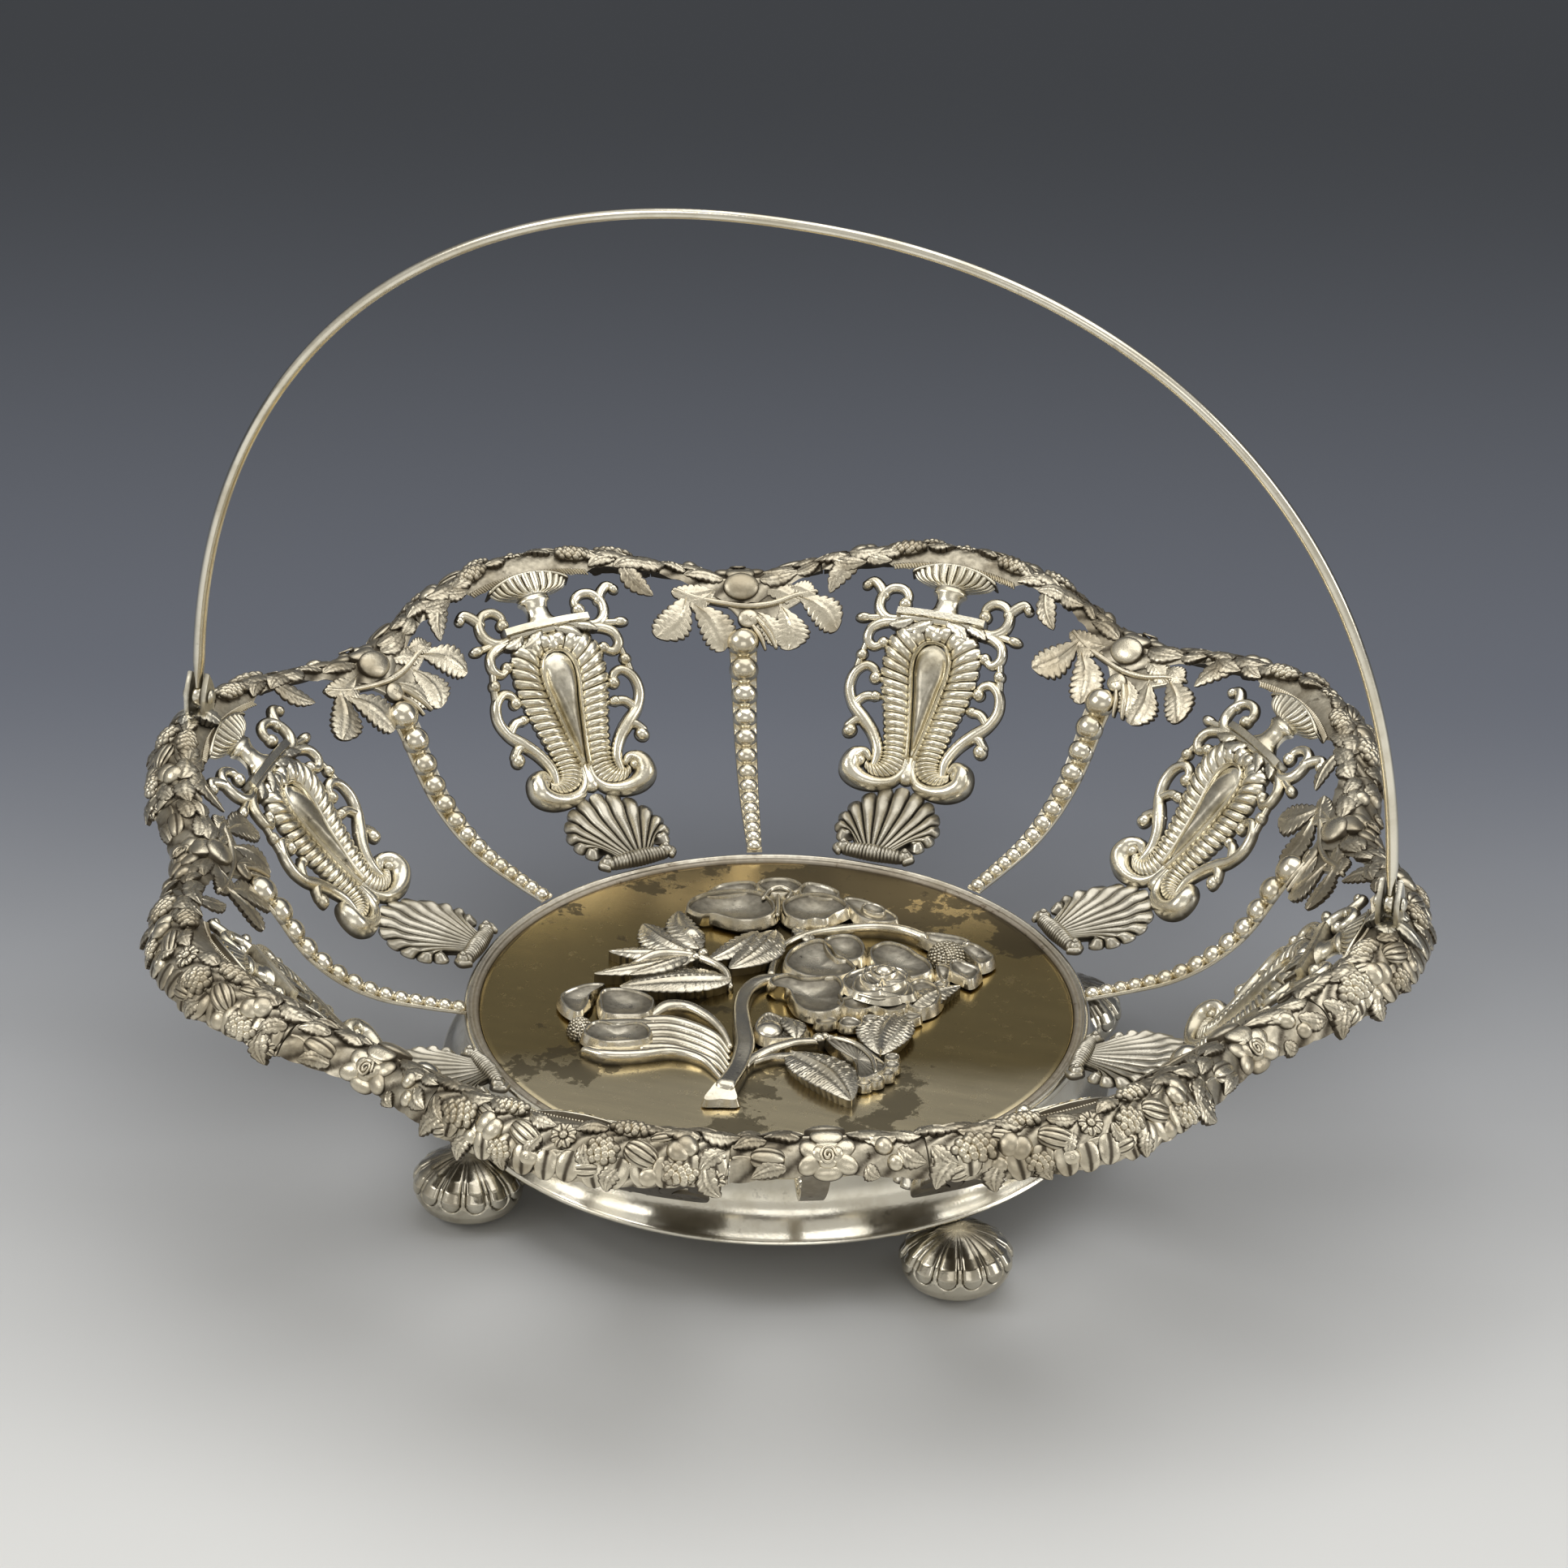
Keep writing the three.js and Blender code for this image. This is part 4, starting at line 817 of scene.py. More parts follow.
outer_line = [(0, 66.2), (5.2, 66.2), (9.4, 64.4), (11.2, 61), (11.7, 57.4), (11.5, 53.6),
              (10.9, 50.1), (10, 46.7), (9.1, 43.3), (8.2, 40), (7.5, 37), (6.9, 34.4), (6.8, 32.5),
              (7.3, 31.3), (8.4, 30.8), (9.6, 30.9), (10.4, 31.5)]
lobe_rows, lobe_columns = 289, 9
along = np.linspace(0, 1, lobe_rows)[:, None]
lobe_count = 17.5 * along + 10.5 * along ** 2
in_lobe = np.abs(lobe_count % 1 - 0.5) * 2
lobe_round = np.sqrt(np.clip(1 - in_lobe ** 2, 0, 1))
over = np.linspace(0, 1, lobe_columns)


def stations(points):
    """A smooth line through the points that keeps their stations evenly numbered."""
    run = smooth(points, 0)
    spot = np.linspace(0, len(run) - 1, lobe_rows)
    return np.stack([np.interp(spot, np.arange(len(run)), column) for column in run.T], 1)[:, None]


inner, outer = stations(inner_line), stations(outer_line)
outer = outer + (outer - inner) * (0.09 * lobe_round[..., None] - 0.04)
flat_lobes = inner + (outer - inner) * over[:, None]
lobe_lift = (0.4 + 2.3 * np.sin(np.pi * (0.07 + 0.86 * over)) ** 0.8 * (0.6 + 0.4 * lobe_round)
             * np.interp(along, [0, 0.6, 1], [1.1, 1, 0.62]))
lobe_deep = np.clip(in_lobe - 0.72, 0, 1) * 2.6 + 0.6 * (over < 0.05) + 0.3 * (over > 0.95)
lobe_top = np.concatenate([flat_lobes, lobe_lift[..., None]], -1)
lobe_under = lobe_top[:, [-1, 0]].copy()
lobe_under[..., 2] = urn_back
lobe_loop = np.concatenate([lobe_top, lobe_under], 1)
lobe_deep = np.hstack([lobe_deep, np.ones((lobe_rows, 2))])
bolder, higher = 1.12, 1.1
for mirror in (1, -1):
    urn.capped(lobe_loop * [mirror, 1, 1], lobe_deep)

    def bead(u, v, radius, height, base=0.0):
        dome(urn, mirror * u, v, radius, height, base, 7, 16, bottom=urn_back)

    def bar(path, steps, height=1.15, sides=9):
        bold = [(mirror * u, v, half * bolder) for u, v, half in path]
        rib(urn, bold, steps, height * higher, sides, bottom=urn_back)

    # raised border of the teardrop, and the plain roll of the volute that it runs into
    bar([(0, 62, 0.45), (2.5, 61.3, 0.5), (4.3, 58.6, 0.55), (4.5, 55, 0.55), (3.7, 50, 0.55),
         (2.7, 44, 0.55), (1.7, 38, 0.55), (1.0, 33.4, 0.6)], 90, 3.7)
    bar([(1.0, 34, 0.75), (1.3, 29.6, 0.95), (3.4, 26.7, 1.35), (7.4, 25.6, 1.75), (11.4, 26.5, 2.2),
         (13.9, 29, 2.5), (13.6, 32, 2.3), (11.6, 33.2, 1.5), (10.2, 32.2, 0.9)], 90, 1.3, 11)
    bead(12.2, 31, 1.6, 1.6, 0.9)
    # lower scroll with its tie to the body and its outer shoot, and the bead that links it
    bar([(8.6, 29.8, 0.9), (8.4, 33.8, 1.3), (10.6, 38.3, 1.45), (13.9, 42, 1.55), (17, 45.2, 1.3),
         (18.6, 49.2, 1.3), (17.9, 52.9, 1.25), (15.5, 54.7, 1.15), (13.4, 53.8, 1.05),
         (12.9, 52.3, 1)], 64)
    bead(12.9, 51.9, 1.7, 2)
    bar([(16.6, 45.0, 1.1), (14.4, 47.2, 1.2), (11.6, 47.4, 1.1)], 20)
    bead(12.2, 47.5, 1.45, 1.9)
    bar([(12.6, 41.2, 1.3), (15.2, 41.3, 1.25), (16.9, 39.8, 1.1)], 18)
    bead(16.3, 38.5, 1.9, 2)
    bead(17.2, 57.1, 1.6, 1.9)
    bar([(17.9, 53.6, 0.8), (17.4, 56.6, 0.85), (16.7, 60, 0.8)], 16)
    # middle scroll under the shoulder
    bar([(9.6, 65.8, 1.1), (13.4, 65.5, 1.25), (16.2, 63.7, 1.25), (16.6, 61, 1.2), (14.8, 59.3, 1.1),
         (12.9, 60.1, 1)], 44)
    bead(12.7, 60.5, 1.55, 1.8)
    # upper scroll hooked beside the neck, with a curled tip and a bud
    bar([(9.6, 67.0, 1.1), (13.2, 66.7, 1.3), (15.7, 69, 1.3), (16, 72.2, 1.25), (14.3, 74.6, 1.2),
         (11.5, 74.8, 1.15), (9.7, 73.2, 1.05), (9.7, 71.4, 1)], 54)
    bead(10, 71, 1.75, 2)
    bar([(15.4, 72.6, 1.2), (17.2, 75, 1.2), (19, 76.2, 1.1), (20.6, 75.2, 0.9)], 24)
    bead(20.2, 75, 1.35, 1.6)
    bar([(14.6, 66.8, 0.9), (17.8, 66.4, 0.9)], 10)
    dome(urn, mirror * 18.9, 66.4, 2.1, 1.7, 0, 6, 16, 0.66, bottom=urn_back)
    # leaves under the slab and bosses on the shoulder
    for base, tip, half, low, high in (((1.6, 66.6), (7.6, 63.4), 1.7, 2.5, 3.0),
                                       ((6.4, 66.8), (12.2, 64.4), 1.6, 2.1, 2.5)):
        leaf(urn, (mirror * base[0], base[1]), (mirror * tip[0], tip[1]), half, low, high, teeth=4,
             veins=4, rows=20, columns=7)
    dome(urn, mirror * 6.3, 62.8, 2.5, 1.1, 1.5, 6, 18, 0.72, mirror * 0.5)
dome(urn, 0, 63.8, 2.0, 1.1, 1.5, 6, 16, bottom=-0.4)
rib(urn, [(0, 33, 1.2), (0, 30.4, 2.0), (0, 28.6, 2.2)], 12, 0.75, 9, bottom=-0.4)
# shoulder slab
for v0, v1, half, w0, w1 in ((65.9, 67.2, 9.9, 2.5, 2.7), (67.1, 69.3, 11.0, 3.5, 3.5)):
    u = np.linspace(-half, half, 25)[:, None]
    v, w = np.transpose([(v0, -0.55), (v0, w0 * 0.85), (v0 + 0.2, w0), (v1 - 0.2, w1),
                         (v1, w1 * 0.85), (v1, -0.55)])
    slab = np.stack([u + 0 * v, v + 0 * u, w - 0.5 * (u / half) ** 4 * (w > 0)], -1)
    urn.capped(slab, [0.8, 0.4, 0, 0, 0.5, 0.9])
# neck, collar and fluted cup with a bright lip
cup_line = smooth([(69.2, 5.0), (69.8, 4.4), (70.6, 3.4), (72.4, 2.9), (74, 3.2), (74.6, 3.9),
                   (75.1, 4.2), (75.6, 4.1), (76, 3.7), (76.4, 4.6), (77, 6.8), (77.9, 8.9), (79, 9.9),
                   (79.6, 10.2)], 40)
cup_turn = np.linspace(0, np.pi, 181)
cup_flutes = 13.5
v, half = cup_line.T[..., None]
fluted_part = np.clip((v - 76.2) / 0.8, 0, 1)
between = 1 - np.abs(np.cos(cup_turn * cup_flutes)) ** 0.6
cup_half = half * (1 - 0.05 * fluted_part * between)
cup_depth = np.interp(v, [69, 71, 73, 75, 75.8, 77, 79.6], [2.9, 2.3, 2.2, 3.0, 2.7, 3.2, 3.8])
cup = np.stack([
    cup_half * np.cos(cup_turn), v + 1.9 * np.clip((v - 77) / 2.6, 0, 1) * np.sin(cup_turn) ** 2,
    -0.4 + (cup_depth + 0.4) * np.sin(cup_turn) ** 0.8 * (1 - 0.22 * fluted_part * between)], -1)
urn.capped(cup, fluted_part * between ** 1.2 + 0.6 * (np.abs(v - 76) < 0.3))
lip_turn = np.linspace(0.06, np.pi - 0.06, 15)
rib(urn, [(10.2 * math.cos(a), 79.7 + 1.9 * math.sin(a) ** 2, 0.42) for a in lip_turn], 60,
    bottom=-3.2)
lip_points = urn.points[-1]
lip_points[:, 2] += 3.1 * np.clip(1 - (lip_points[:, 0] / 10.9) ** 2, 0, 1) ** 0.4
show_round("urn", urn.mesh("urn", on_wall), cast_silver, "urn_panel", 0, lobes)


# Bead strips: eight narrow tapering strips with a row of graduated half balls struck in them,
# soldered between the plate ring and the roses.
class Recipe(Graph):
    """A Geometry Nodes tree with named inputs, run on a base mesh to give a plain mesh."""

    def __init__(self, name, **inputs):
        super().__init__(bpy.data.node_groups.new(name, "GeometryNodeTree"))
        face = self.tree.interface
        face.new_socket("Geometry", in_out="INPUT", socket_type="NodeSocketGeometry")
        self.keys = {}
        for key, value in inputs.items():
            kind = "NodeSocketInt" if isinstance(value, int) else "NodeSocketFloat"
            socket = face.new_socket(key, in_out="INPUT", socket_type=kind)
            socket.default_value = value
            self.keys[key] = socket.identifier
        face.new_socket("Geometry", in_out="OUTPUT", socket_type="NodeSocketGeometry")
        self.inputs = self.node("NodeGroupInput")

    def value(self, name):
        return Value(self, self.inputs[name])

    def index(self):
        return Value(self, self.node("GeometryNodeInputIndex")[0])

    def at(self, x, y, z):
        return self.node("ShaderNodeCombineXYZ", {0: x, 1: y, 2: z})[0]

    def scatter(self, count, place, shape, size, material):
        """Sets a copy of the shape at each of so many places, as the recipe's outcome."""
        line = self.node("GeometryNodeMeshLine", {"Count": count})[0]
        spread = self.node("GeometryNodeSetPosition", {0: line, 2: place})[0]
        copies = self.node("GeometryNodeInstanceOnPoints", {0: spread, 2: shape, 6: size})[0]
        self.finish(copies, material)

    def finish(self, geometry, material):
        real = self.node("GeometryNodeRealizeInstances", {0: geometry})[0]
        made = self.node("GeometryNodeSetMaterial", {0: real, "Material": material})[0]
        self.node("NodeGroupOutput", {0: made})

    def run(self, base, **sizes):
        """The plain mesh that the recipe makes of a base mesh with the given sizes."""
        piece = placed(self.tree.name, base)
        modifier = piece.modifiers.new("recipe", "NODES")
        modifier.node_group = self.tree
        for key, value in sizes.items():
            modifier[self.keys[key]] = value
        evaluated = piece.evaluated_get(bpy.context.evaluated_depsgraph_get())
        made = bpy.data.meshes.new_from_object(evaluated)
        piece.modifiers.remove(modifier)
        bpy.data.objects.remove(piece)
        return made


bead_silver = silver("bead_silver", (0.85, 0.795, 0.66), (0.64, 0.57, 0.42), (0.13, 0.10, 0.065),
                     0.13, 0.7, 0.25)
bead_line = wall_line([(-0.01, wall_start), (0.124, 0.055), (0.27, 0.108), (0.388, 0.195),
                       (0.487, 0.316), (0.538, 0.41), (0.631, 0.627), (0.69, 0.71)])
strip_length = bead_line[-1, 2]
strip_low_half, strip_top_half = 1.8, 3.45
bead_count = 14
bead_row = Recipe("bead_row", Beads=bead_count, Smallest=3.0, Growth=3.3,
                  Length=float(strip_length))
bead_share = bead_row.index() * (1 / (bead_count - 1))
bead_size = bead_row.value("Smallest") + bead_row.value("Growth") * bead_share ** 2.2
tally = bead_row.node("GeometryNodeAccumulateField", {0: bead_size}, data_type="FLOAT")
fit = bead_row.value("Length") / Value(bead_row, tally["Total"])
bead_size = bead_size * fit
bead_up = Value(bead_row, tally["Trailing"]) * fit + bead_size * 0.5
bead_row.scatter(
    bead_row.inputs["Beads"], bead_row.at(0.0, bead_up, 0.05),
    bead_row.node("GeometryNodeMeshUVSphere", {0: 24, 1: 18, 2: 0.5})[0],
    bead_row.at(bead_size * 1.15, bead_size * 1.10, bead_size), bead_silver)
strip = Pattern()
v = np.linspace(0, strip_length, 60)[:, None]
half = strip_low_half + (strip_top_half - strip_low_half) * v / strip_length
cross = np.array([-1, -1, -0.93, -0.8, 0.8, 0.93, 1, 1])
level = np.array([-0.6, 0.1, 0.3, 0.05, 0.05, 0.3, 0.1, -0.6])
strip.capped(np.stack([half * cross, v + 0 * cross, level + 0 * v], -1),
             [0.9, 0.2, 0, 0.45, 0.45, 0, 0.2, 0.9])
strip.take(bead_row.run(bpy.data.meshes.new("bead_base")),
           lambda p: np.clip(0.8 - p[:, 2] / 0.4, 0, 1), floor=-0.5)
show_round("bead_strip", strip.mesh("bead_strip", bent_to(bead_line)), bead_silver, "bead_strip",
           180 / lobes, lobes)


# Fruit garlands: the rim moulding over each urn, a half-round band of thin stamped silver with
# grapes, plums, apples and vine leaves, soft-soldered to the cups and to its neighbours.
crest_radius = ring_radius + wall_flare
crest_top = ring_top + wall_rise
dip_inwards, dip_down = 11.2, 5.7
lobe_section = [crest_radius, crest_top] + smooth(
    [(-5.2, -2.6), (-2.8, -0.8), (0, 0), (3.2, -1.2), (6.4, -4.4), (9.2, -9.4)], 0)[::4]
dip_section = [crest_radius - dip_inwards, crest_top - dip_down] + smooth(
    [(-6.6, -3.8), (-3.3, -1.1), (0, 0), (2.4, -0.5), (4.8, -2), (7, -5)], 0)[::4]
crest_node = 10
rim_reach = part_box("fruit_garland_1")[1].x * 1000 - 0.02


def rim_share(angle):
    """1 over the middle of an urn, 0 in the middle of a dip."""
    return (0.5 + 0.5 * np.cos(lobes * angle)) ** 0.75


def rim_lengths(share):
    """Points of the rim's section at a share, and how far each lies outside the crest."""
    nodes = dip_section + (lobe_section - dip_section) * share[..., None, None]
    length = np.cumsum(np.linalg.norm(np.diff(nodes, axis=-2), axis=-1), -1)
    length = np.concatenate([0 * length[..., :1], length], -1)
    return nodes, length - length[..., crest_node:crest_node + 1]


def on_rim(middle):
    """Bends a flat pattern to the rim: x runs along it, y across it from the crest outwards."""
    def place(points):
        u, s, w = points.T
        nodes, length = rim_lengths(rim_share(middle + u / crest_radius))
        inside = np.clip(s, length[:, 0], length[:, -1])
        t = np.clip((inside[:, None] - length[:, :-1]) / np.diff(length), 0, 1).sum(1)
        row = np.arange(len(t))
        k = np.minimum(t.astype(int), nodes.shape[1] - 2)
        near = np.clip(np.stack([k - 1, k + 2]), 0, nodes.shape[1] - 1)
        way = nodes[row, near[1]] - nodes[row, near[0]]
        way /= np.linalg.norm(way, axis=1)[:, None]
        spot = nodes[row, k] + (nodes[row, k + 1] - nodes[row, k]) * (t - k)[:, None]
        spot = spot + way * (s - inside)[:, None]
        r, z = spot[:, 0] - way[:, 1] * w, spot[:, 1] + way[:, 0] * w
        r = np.minimum(r, rim_reach)
        return np.stack([r * np.cos(u / crest_radius), r * np.sin(u / crest_radius), z], 1)
    return place


def rim_band(pattern, middle, half, relief, inner_edge, shade):
    """The band itself, from its inner edge over the crest to its scalloped outer edge."""
    u = np.linspace(-half, half, int(half * 4.4))[:, None]
    length = rim_lengths(rim_share(middle + u[:, 0] / crest_radius))[1]
    low = length[:, :1] * inner_edge(u)
    high = length[:, -1:] * (0.885 + 0.035 * np.abs(np.sin(u * 0.62)) ** 0.6)
    s = low + (high - low) * np.linspace(0, 1, 34)
    u = u + 0 * s
    lift = relief(u, s)
    top = np.stack([u, s, lift], -1)
    back = top[:, ::-5].copy()
    back[..., 2] = -0.9
    deep = np.clip(0.85 - 0.9 * lift, 0, 1) * shade(u, s)
    pattern.capped(np.concatenate([top, back], 1),
                   np.hstack([deep, np.full(back.shape[:2], 0.8)]))


rim_silver = silver("rim_silver", (0.78, 0.71, 0.555), (0.38, 0.32, 0.22), (0.065, 0.05, 0.034),
                    0.27, 0.92, 1.2, (0.13, 0.80))
golden_angle = 2.39996
seeds = Recipe("seeds", Seeds=25, Wide=4.0, Deep=4.0, High=2.0, Size=0.9)
ring_share = ((seeds.index() + 0.5) / seeds.value("Seeds")) ** 0.5
seed_turn = seeds.index() * golden_angle
seeds.scatter(
    seeds.inputs["Seeds"],
    seeds.at(ring_share * seeds.value("Wide") * seed_turn.cosine(),
             ring_share * seeds.value("Deep") * seed_turn.sine(),
             seeds.value("High") * (1 - ring_share ** 2.0 * 0.85) ** 0.5),
    seeds.node("GeometryNodeMeshUVSphere", {0: 8, 1: 6, 2: seeds.inputs["Size"]})[0],
    (1, 1, 1), rim_silver)


def grapes(pattern, u, s, wide, deep, height, size, count):
    """A bunch: a low boss covered with so many round seeds of the given size."""
    base = 0.3
    dome(pattern, u, s, wide * 0.9, height * 0.8, base, 5, 16, deep / wide)
    bunch = seeds.run(bpy.data.meshes.new("seed_base"), Seeds=count, Wide=wide - size * 0.7,
                      Deep=deep - size * 0.7, High=height - size * 0.4, Size=size)
    pattern.take(bunch, lambda p: np.clip(1.1 - p[:, 2] / (height + base), 0, 1), shift=(u, s, base))


def plum(pattern, u, s, radius, aim):
    """Round fruit with a cleft."""
    for k in (0.36, -0.36):
        dome(pattern, u + k * radius * math.cos(aim), s + k * radius * math.sin(aim), radius * 0.74,
             1.9, 0.2, 8, 20, 1.22, aim)


def husk(pattern, base, tip, half, height, ridges=4, level=0.1, taper=0.0):
    """Ribbed fruit or fluted petal: a long oval boss with lengthwise ridges."""
    base, way, side = heading(base, tip)
    a = np.linspace(0, np.pi, 13)[:, None]
    b = np.linspace(0, np.pi, ridges * 5 + 1)
    along = (1 - np.cos(a)) / 2
    ridge = np.abs(np.sin(ridges * b)) ** 0.6
    bulge = np.sin(a) ** 0.7
    k = bulge * (0.82 + 0.18 * ridge)
    reach = half * np.cos(b) * k * (1 - taper * along)
    reach = np.hstack([reach, reach[:, [-1, 0]]])
    lift = np.hstack([level + height * np.sin(b) ** 0.8 * k, np.full((13, 2), -0.3)])
    spot = base + way * along[..., None] + side * reach[..., None]
    deep = 0.9 * (1 - ridge) ** 1.2 + 0.7 * (1 - np.sin(b)) ** 2 + 0.5 * (1 - bulge)
    pattern.grid(np.concatenate([spot, lift[..., None]], -1), np.hstack([deep, np.ones((13, 2))]))


def daisy(pattern, u, s, radius, petals=8):
    """Small open flower with a round eye."""
    for k in range(petals):
        aim = (k + 0.3) * 2 * math.pi / petals
        c, d = radius * math.cos(aim), radius * math.sin(aim)
        husk(pattern, (u + 0.3 * c, s + 0.3 * d), (u + c, s + d), radius * 0.36, 0.8, 2, 0.5)
    dome(pattern, u, s, radius * 0.34, 0.8, 0.9, 5, 14)


garland = Pattern()
garland_half = 33.75


def off_cove(u, s):
    """0 on the smooth cove over the cup of the urn, 1 away from it."""
    return np.clip(np.maximum((s + 0.6) / 1.5, (np.abs(u) - 16) / 3), 0, 1)


def foliage(u, s):
    """Folded leafage behind the fruit."""
    folds = np.abs(np.sin(0.75 * u + 0.8 * np.sin(0.7 * s) + 1.1 * s)) ** 0.8
    return 0.6 * folds * off_cove(u, s)


def garland_inside(u):
    """Share of the section's inner part that the garland covers."""
    return np.interp(np.abs(u), [13.5, 19, 34], [1, 0.62, 0.5]) - 0.06 * np.abs(np.sin(u * 0.8))


rim_band(garland, 0, garland_half, foliage, garland_inside,
         lambda u, s: 0.52 + 0.48 * off_cove(u, s))
# fluted petals of the fringe, each over its neighbour
for k in range(14):
    u = -31.2 + 62.4 * k / 13
    far = 13.3 - 0.0038 * u * u - 0.5 * (k % 3 == 1)
    lean = 0.9 * math.sin(2.6 * k)
    husk(garland, (u * 0.97 - lean, far - 6.6), (u * 1.01 + lean, far), 3.1, 0.9, 2,
         0.1 + 0.3 * (k % 2), 0.2)
for u, s, aim, length, half in (
        (-27, 0.4, -8, 8.5, 2.6), (-19.4, -1.4, 14, 7.5, 2.3), (-8.6, 0.4, 12, 6.6, 1.9),
        (27.4, 0.6, 186, 8.5, 2.6), (19.8, -1.2, 168, 7.5, 2.3), (8.6, 0.4, 168, 6.6, 1.9),
        (-29, 6.6, 128, 7, 2.6), (-20.6, 8.6, 105, 5.5, 2.4), (-11.8, 7.8, 80, 5.4, 2.2),
        (29, 6.8, 60, 7, 2.6), (20.4, 6.4, 30, 6.6, 2.4), (12.2, 8.4, 110, 5.4, 2.2),
        (-4.4, 4.6, 115, 5.4, 1.7), (4.4, 4.6, 65, 5.4, 1.7), (-33, 3.4, 40, 6.5, 2.2),
        (33, 3.6, 140, 6.5, 2.2), (27.6, -0.8, 6, 8.4, 2.5), (-27.6, -0.8, 174, 8.4, 2.5)):
    c, d = length * math.cos(math.radians(aim)), length * math.sin(math.radians(aim))
    leaf(garland, (u, s), (u + c, s + d), half, 0.7, 1.6, teeth=5, veins=6, rows=26, columns=9,
         cup=0.4)
for bunch in ((-24.6, 4.6, 4.9, 3.4, 1.9, 1.12, 19), (8.6, 5.2, 3.7, 3.3, 1.8, 1.0, 17),
              (24.4, 8.4, 4.0, 2.7, 1.6, 0.98, 16), (-12.6, 9.2, 3.2, 2.4, 1.5, 0.9, 13),
              (-13.4, -0.4, 4.6, 2.3, 1.7, 0.95, 19), (13.2, -0.4, 4.6, 2.3, 1.7, 0.95, 19)):
    grapes(garland, *bunch)
plum(garland, -16.6, 5.2, 3.2, 0.5)
plum(garland, 24.2, 3.2, 3.1, 2.4)
for fruit in (((-11.6, 3.2), (-4.6, 6.4), 2.7, 1.8, 5), ((12.8, 3.4), (19.4, 6.6), 2.8, 1.9, 5),
              ((-21.4, 1.4), (-15.6, 3.2), 1.9, 1.2), ((17.2, 1.2), (22.4, -0.4), 1.7, 1.1),
              ((-30.6, 9.8), (-26.4, 8.2), 2.0, 1.3), ((3.2, 9.9), (8.6, 9.0), 2.1, 1.4)):
    husk(garland, *fruit)
dome(garland, -6.2, 9.2, 2.3, 1.4, 0.2, 7, 20, 0.9)
dome(garland, -6.2, 9.2, 0.6, 0.3, 1.5, 4, 10, bottom=1)
dome(garland, -20.4, 8.4, 1.9, 1.2, 0.2, 7, 16)
dome(garland, 18.2, 9.6, 2.1, 1.3, 0.2, 7, 18)
daisy(garland, 0, 3.4, 2.8)
daisy(garland, 31.2, 9.4, 2.3, 7)
rib(garland, [(-4.4, 7.4, 0.5), (0, 6.8, 0.6), (4.4, 7.4, 0.5)], 16, 0.8)
# roped edge between the cove and the fruit
rope = np.linspace(-15.5, 15.5, 44)
for u, low in zip(rope, rim_lengths(rim_share(rope / crest_radius))[1][:, 0]):
    rib(garland, [(u - 0.3, low + 0.5, 0.3), (u + 0.3, low + 1.5, 0.34)], 5, 1.5, 5)
# leaves on the inner edge; the long one of each side hangs free below the band
for mirror in (1, -1):
    leaf(garland, (mirror * 24.6, -2.2), (mirror * 31.2, -9.6), 3.4, 0.7, 1.3, teeth=6, rows=37,
         columns=13, bottom=None)
    leaf(garland, (mirror * 31, -1.2), (mirror * 22.6, -3.6), 2.2, 0.9, 1.6, teeth=5, veins=6)
    leaf(garland, (mirror * 24, -0.6), (mirror * 16.4, -3.9), 1.9, 0.8, 1.4, teeth=5, veins=6)
show_round("garland", garland.mesh("garland", on_rim(0)), rim_silver, "fruit_garland",
           0, lobes)


# Rose sprays: in each dip of the rim a stamped rose with buds and leaves. Under it a sprig of
# serrated rose leaves with one bud hangs into the bowl, soldered to the top of the bead strip.
rose = Pattern()
rose_half = math.radians(8.6) * crest_radius - 0.2
dip = math.pi / lobes


def rose_leafage(u, s):
    """Folded leafage behind the rose."""
    folds = np.abs(np.sin(0.42 * u + 0.5 * s)) ** 0.8
    return 0.5 * folds * np.clip(np.abs(s) / 2, 0, 1)


def rose_inside(u):
    """Share of the section's inner part that the rose covers."""
    return np.interp(np.abs(u), [4, 13, 21], [1, 0.66, 0.5]) - 0.06 * np.abs(np.sin(u * 0.7))


rim_band(rose, dip, rose_half, rose_leafage, rose_inside, lambda u, s: 0.9)
for u, s, rx, ry, turn, level in (
        (-3.4, 3.2, 3.2, 2.2, 30, 1.2), (3.4, 3.0, 3.2, 2.2, -30, 1.2), (-3.7, 6.2, 3.1, 2.2, -25, 1.2),
        (3.7, 6.2, 3.1, 2.2, 25, 1.2), (0, 7.9, 3.4, 1.9, 0, 1.2), (0, 2.0, 3.3, 1.9, 0, 1.3),
        (-1.7, 4.2, 2.3, 1.8, 30, 1.7), (1.8, 4.4, 2.3, 1.8, -40, 1.7), (0, 5.9, 2.3, 1.5, 0, 1.7)):
    dome(rose, u, s, rx, level, 0.2, 8, 24, ry / rx, math.radians(turn), soft=1.4)
coil_turn = np.linspace(0, 4 * np.pi, 14)
rib(rose, [((0.3 + 0.13 * a) * math.cos(a), 4.8 + (0.3 + 0.11 * a) * math.sin(a), 0.34)
           for a in coil_turn], 60, 1.3, 6, base=2.0)
husk(rose, (-16.8, 4.4), (-9.2, 5.2), 2.6, 1.5, 3)
rib(rose, [(-16.2, 4.8, 0.6), (-18.4, 4.4, 0.5), (-20.2, 4.6, 0.4)], 12, 1.2, 6)
dome(rose, 12.2, 2.6, 2.1, 1.9, 0.2, 7, 18)
dome(rose, 14.2, 6.2, 1.8, 1.6, 0.2, 7, 18)
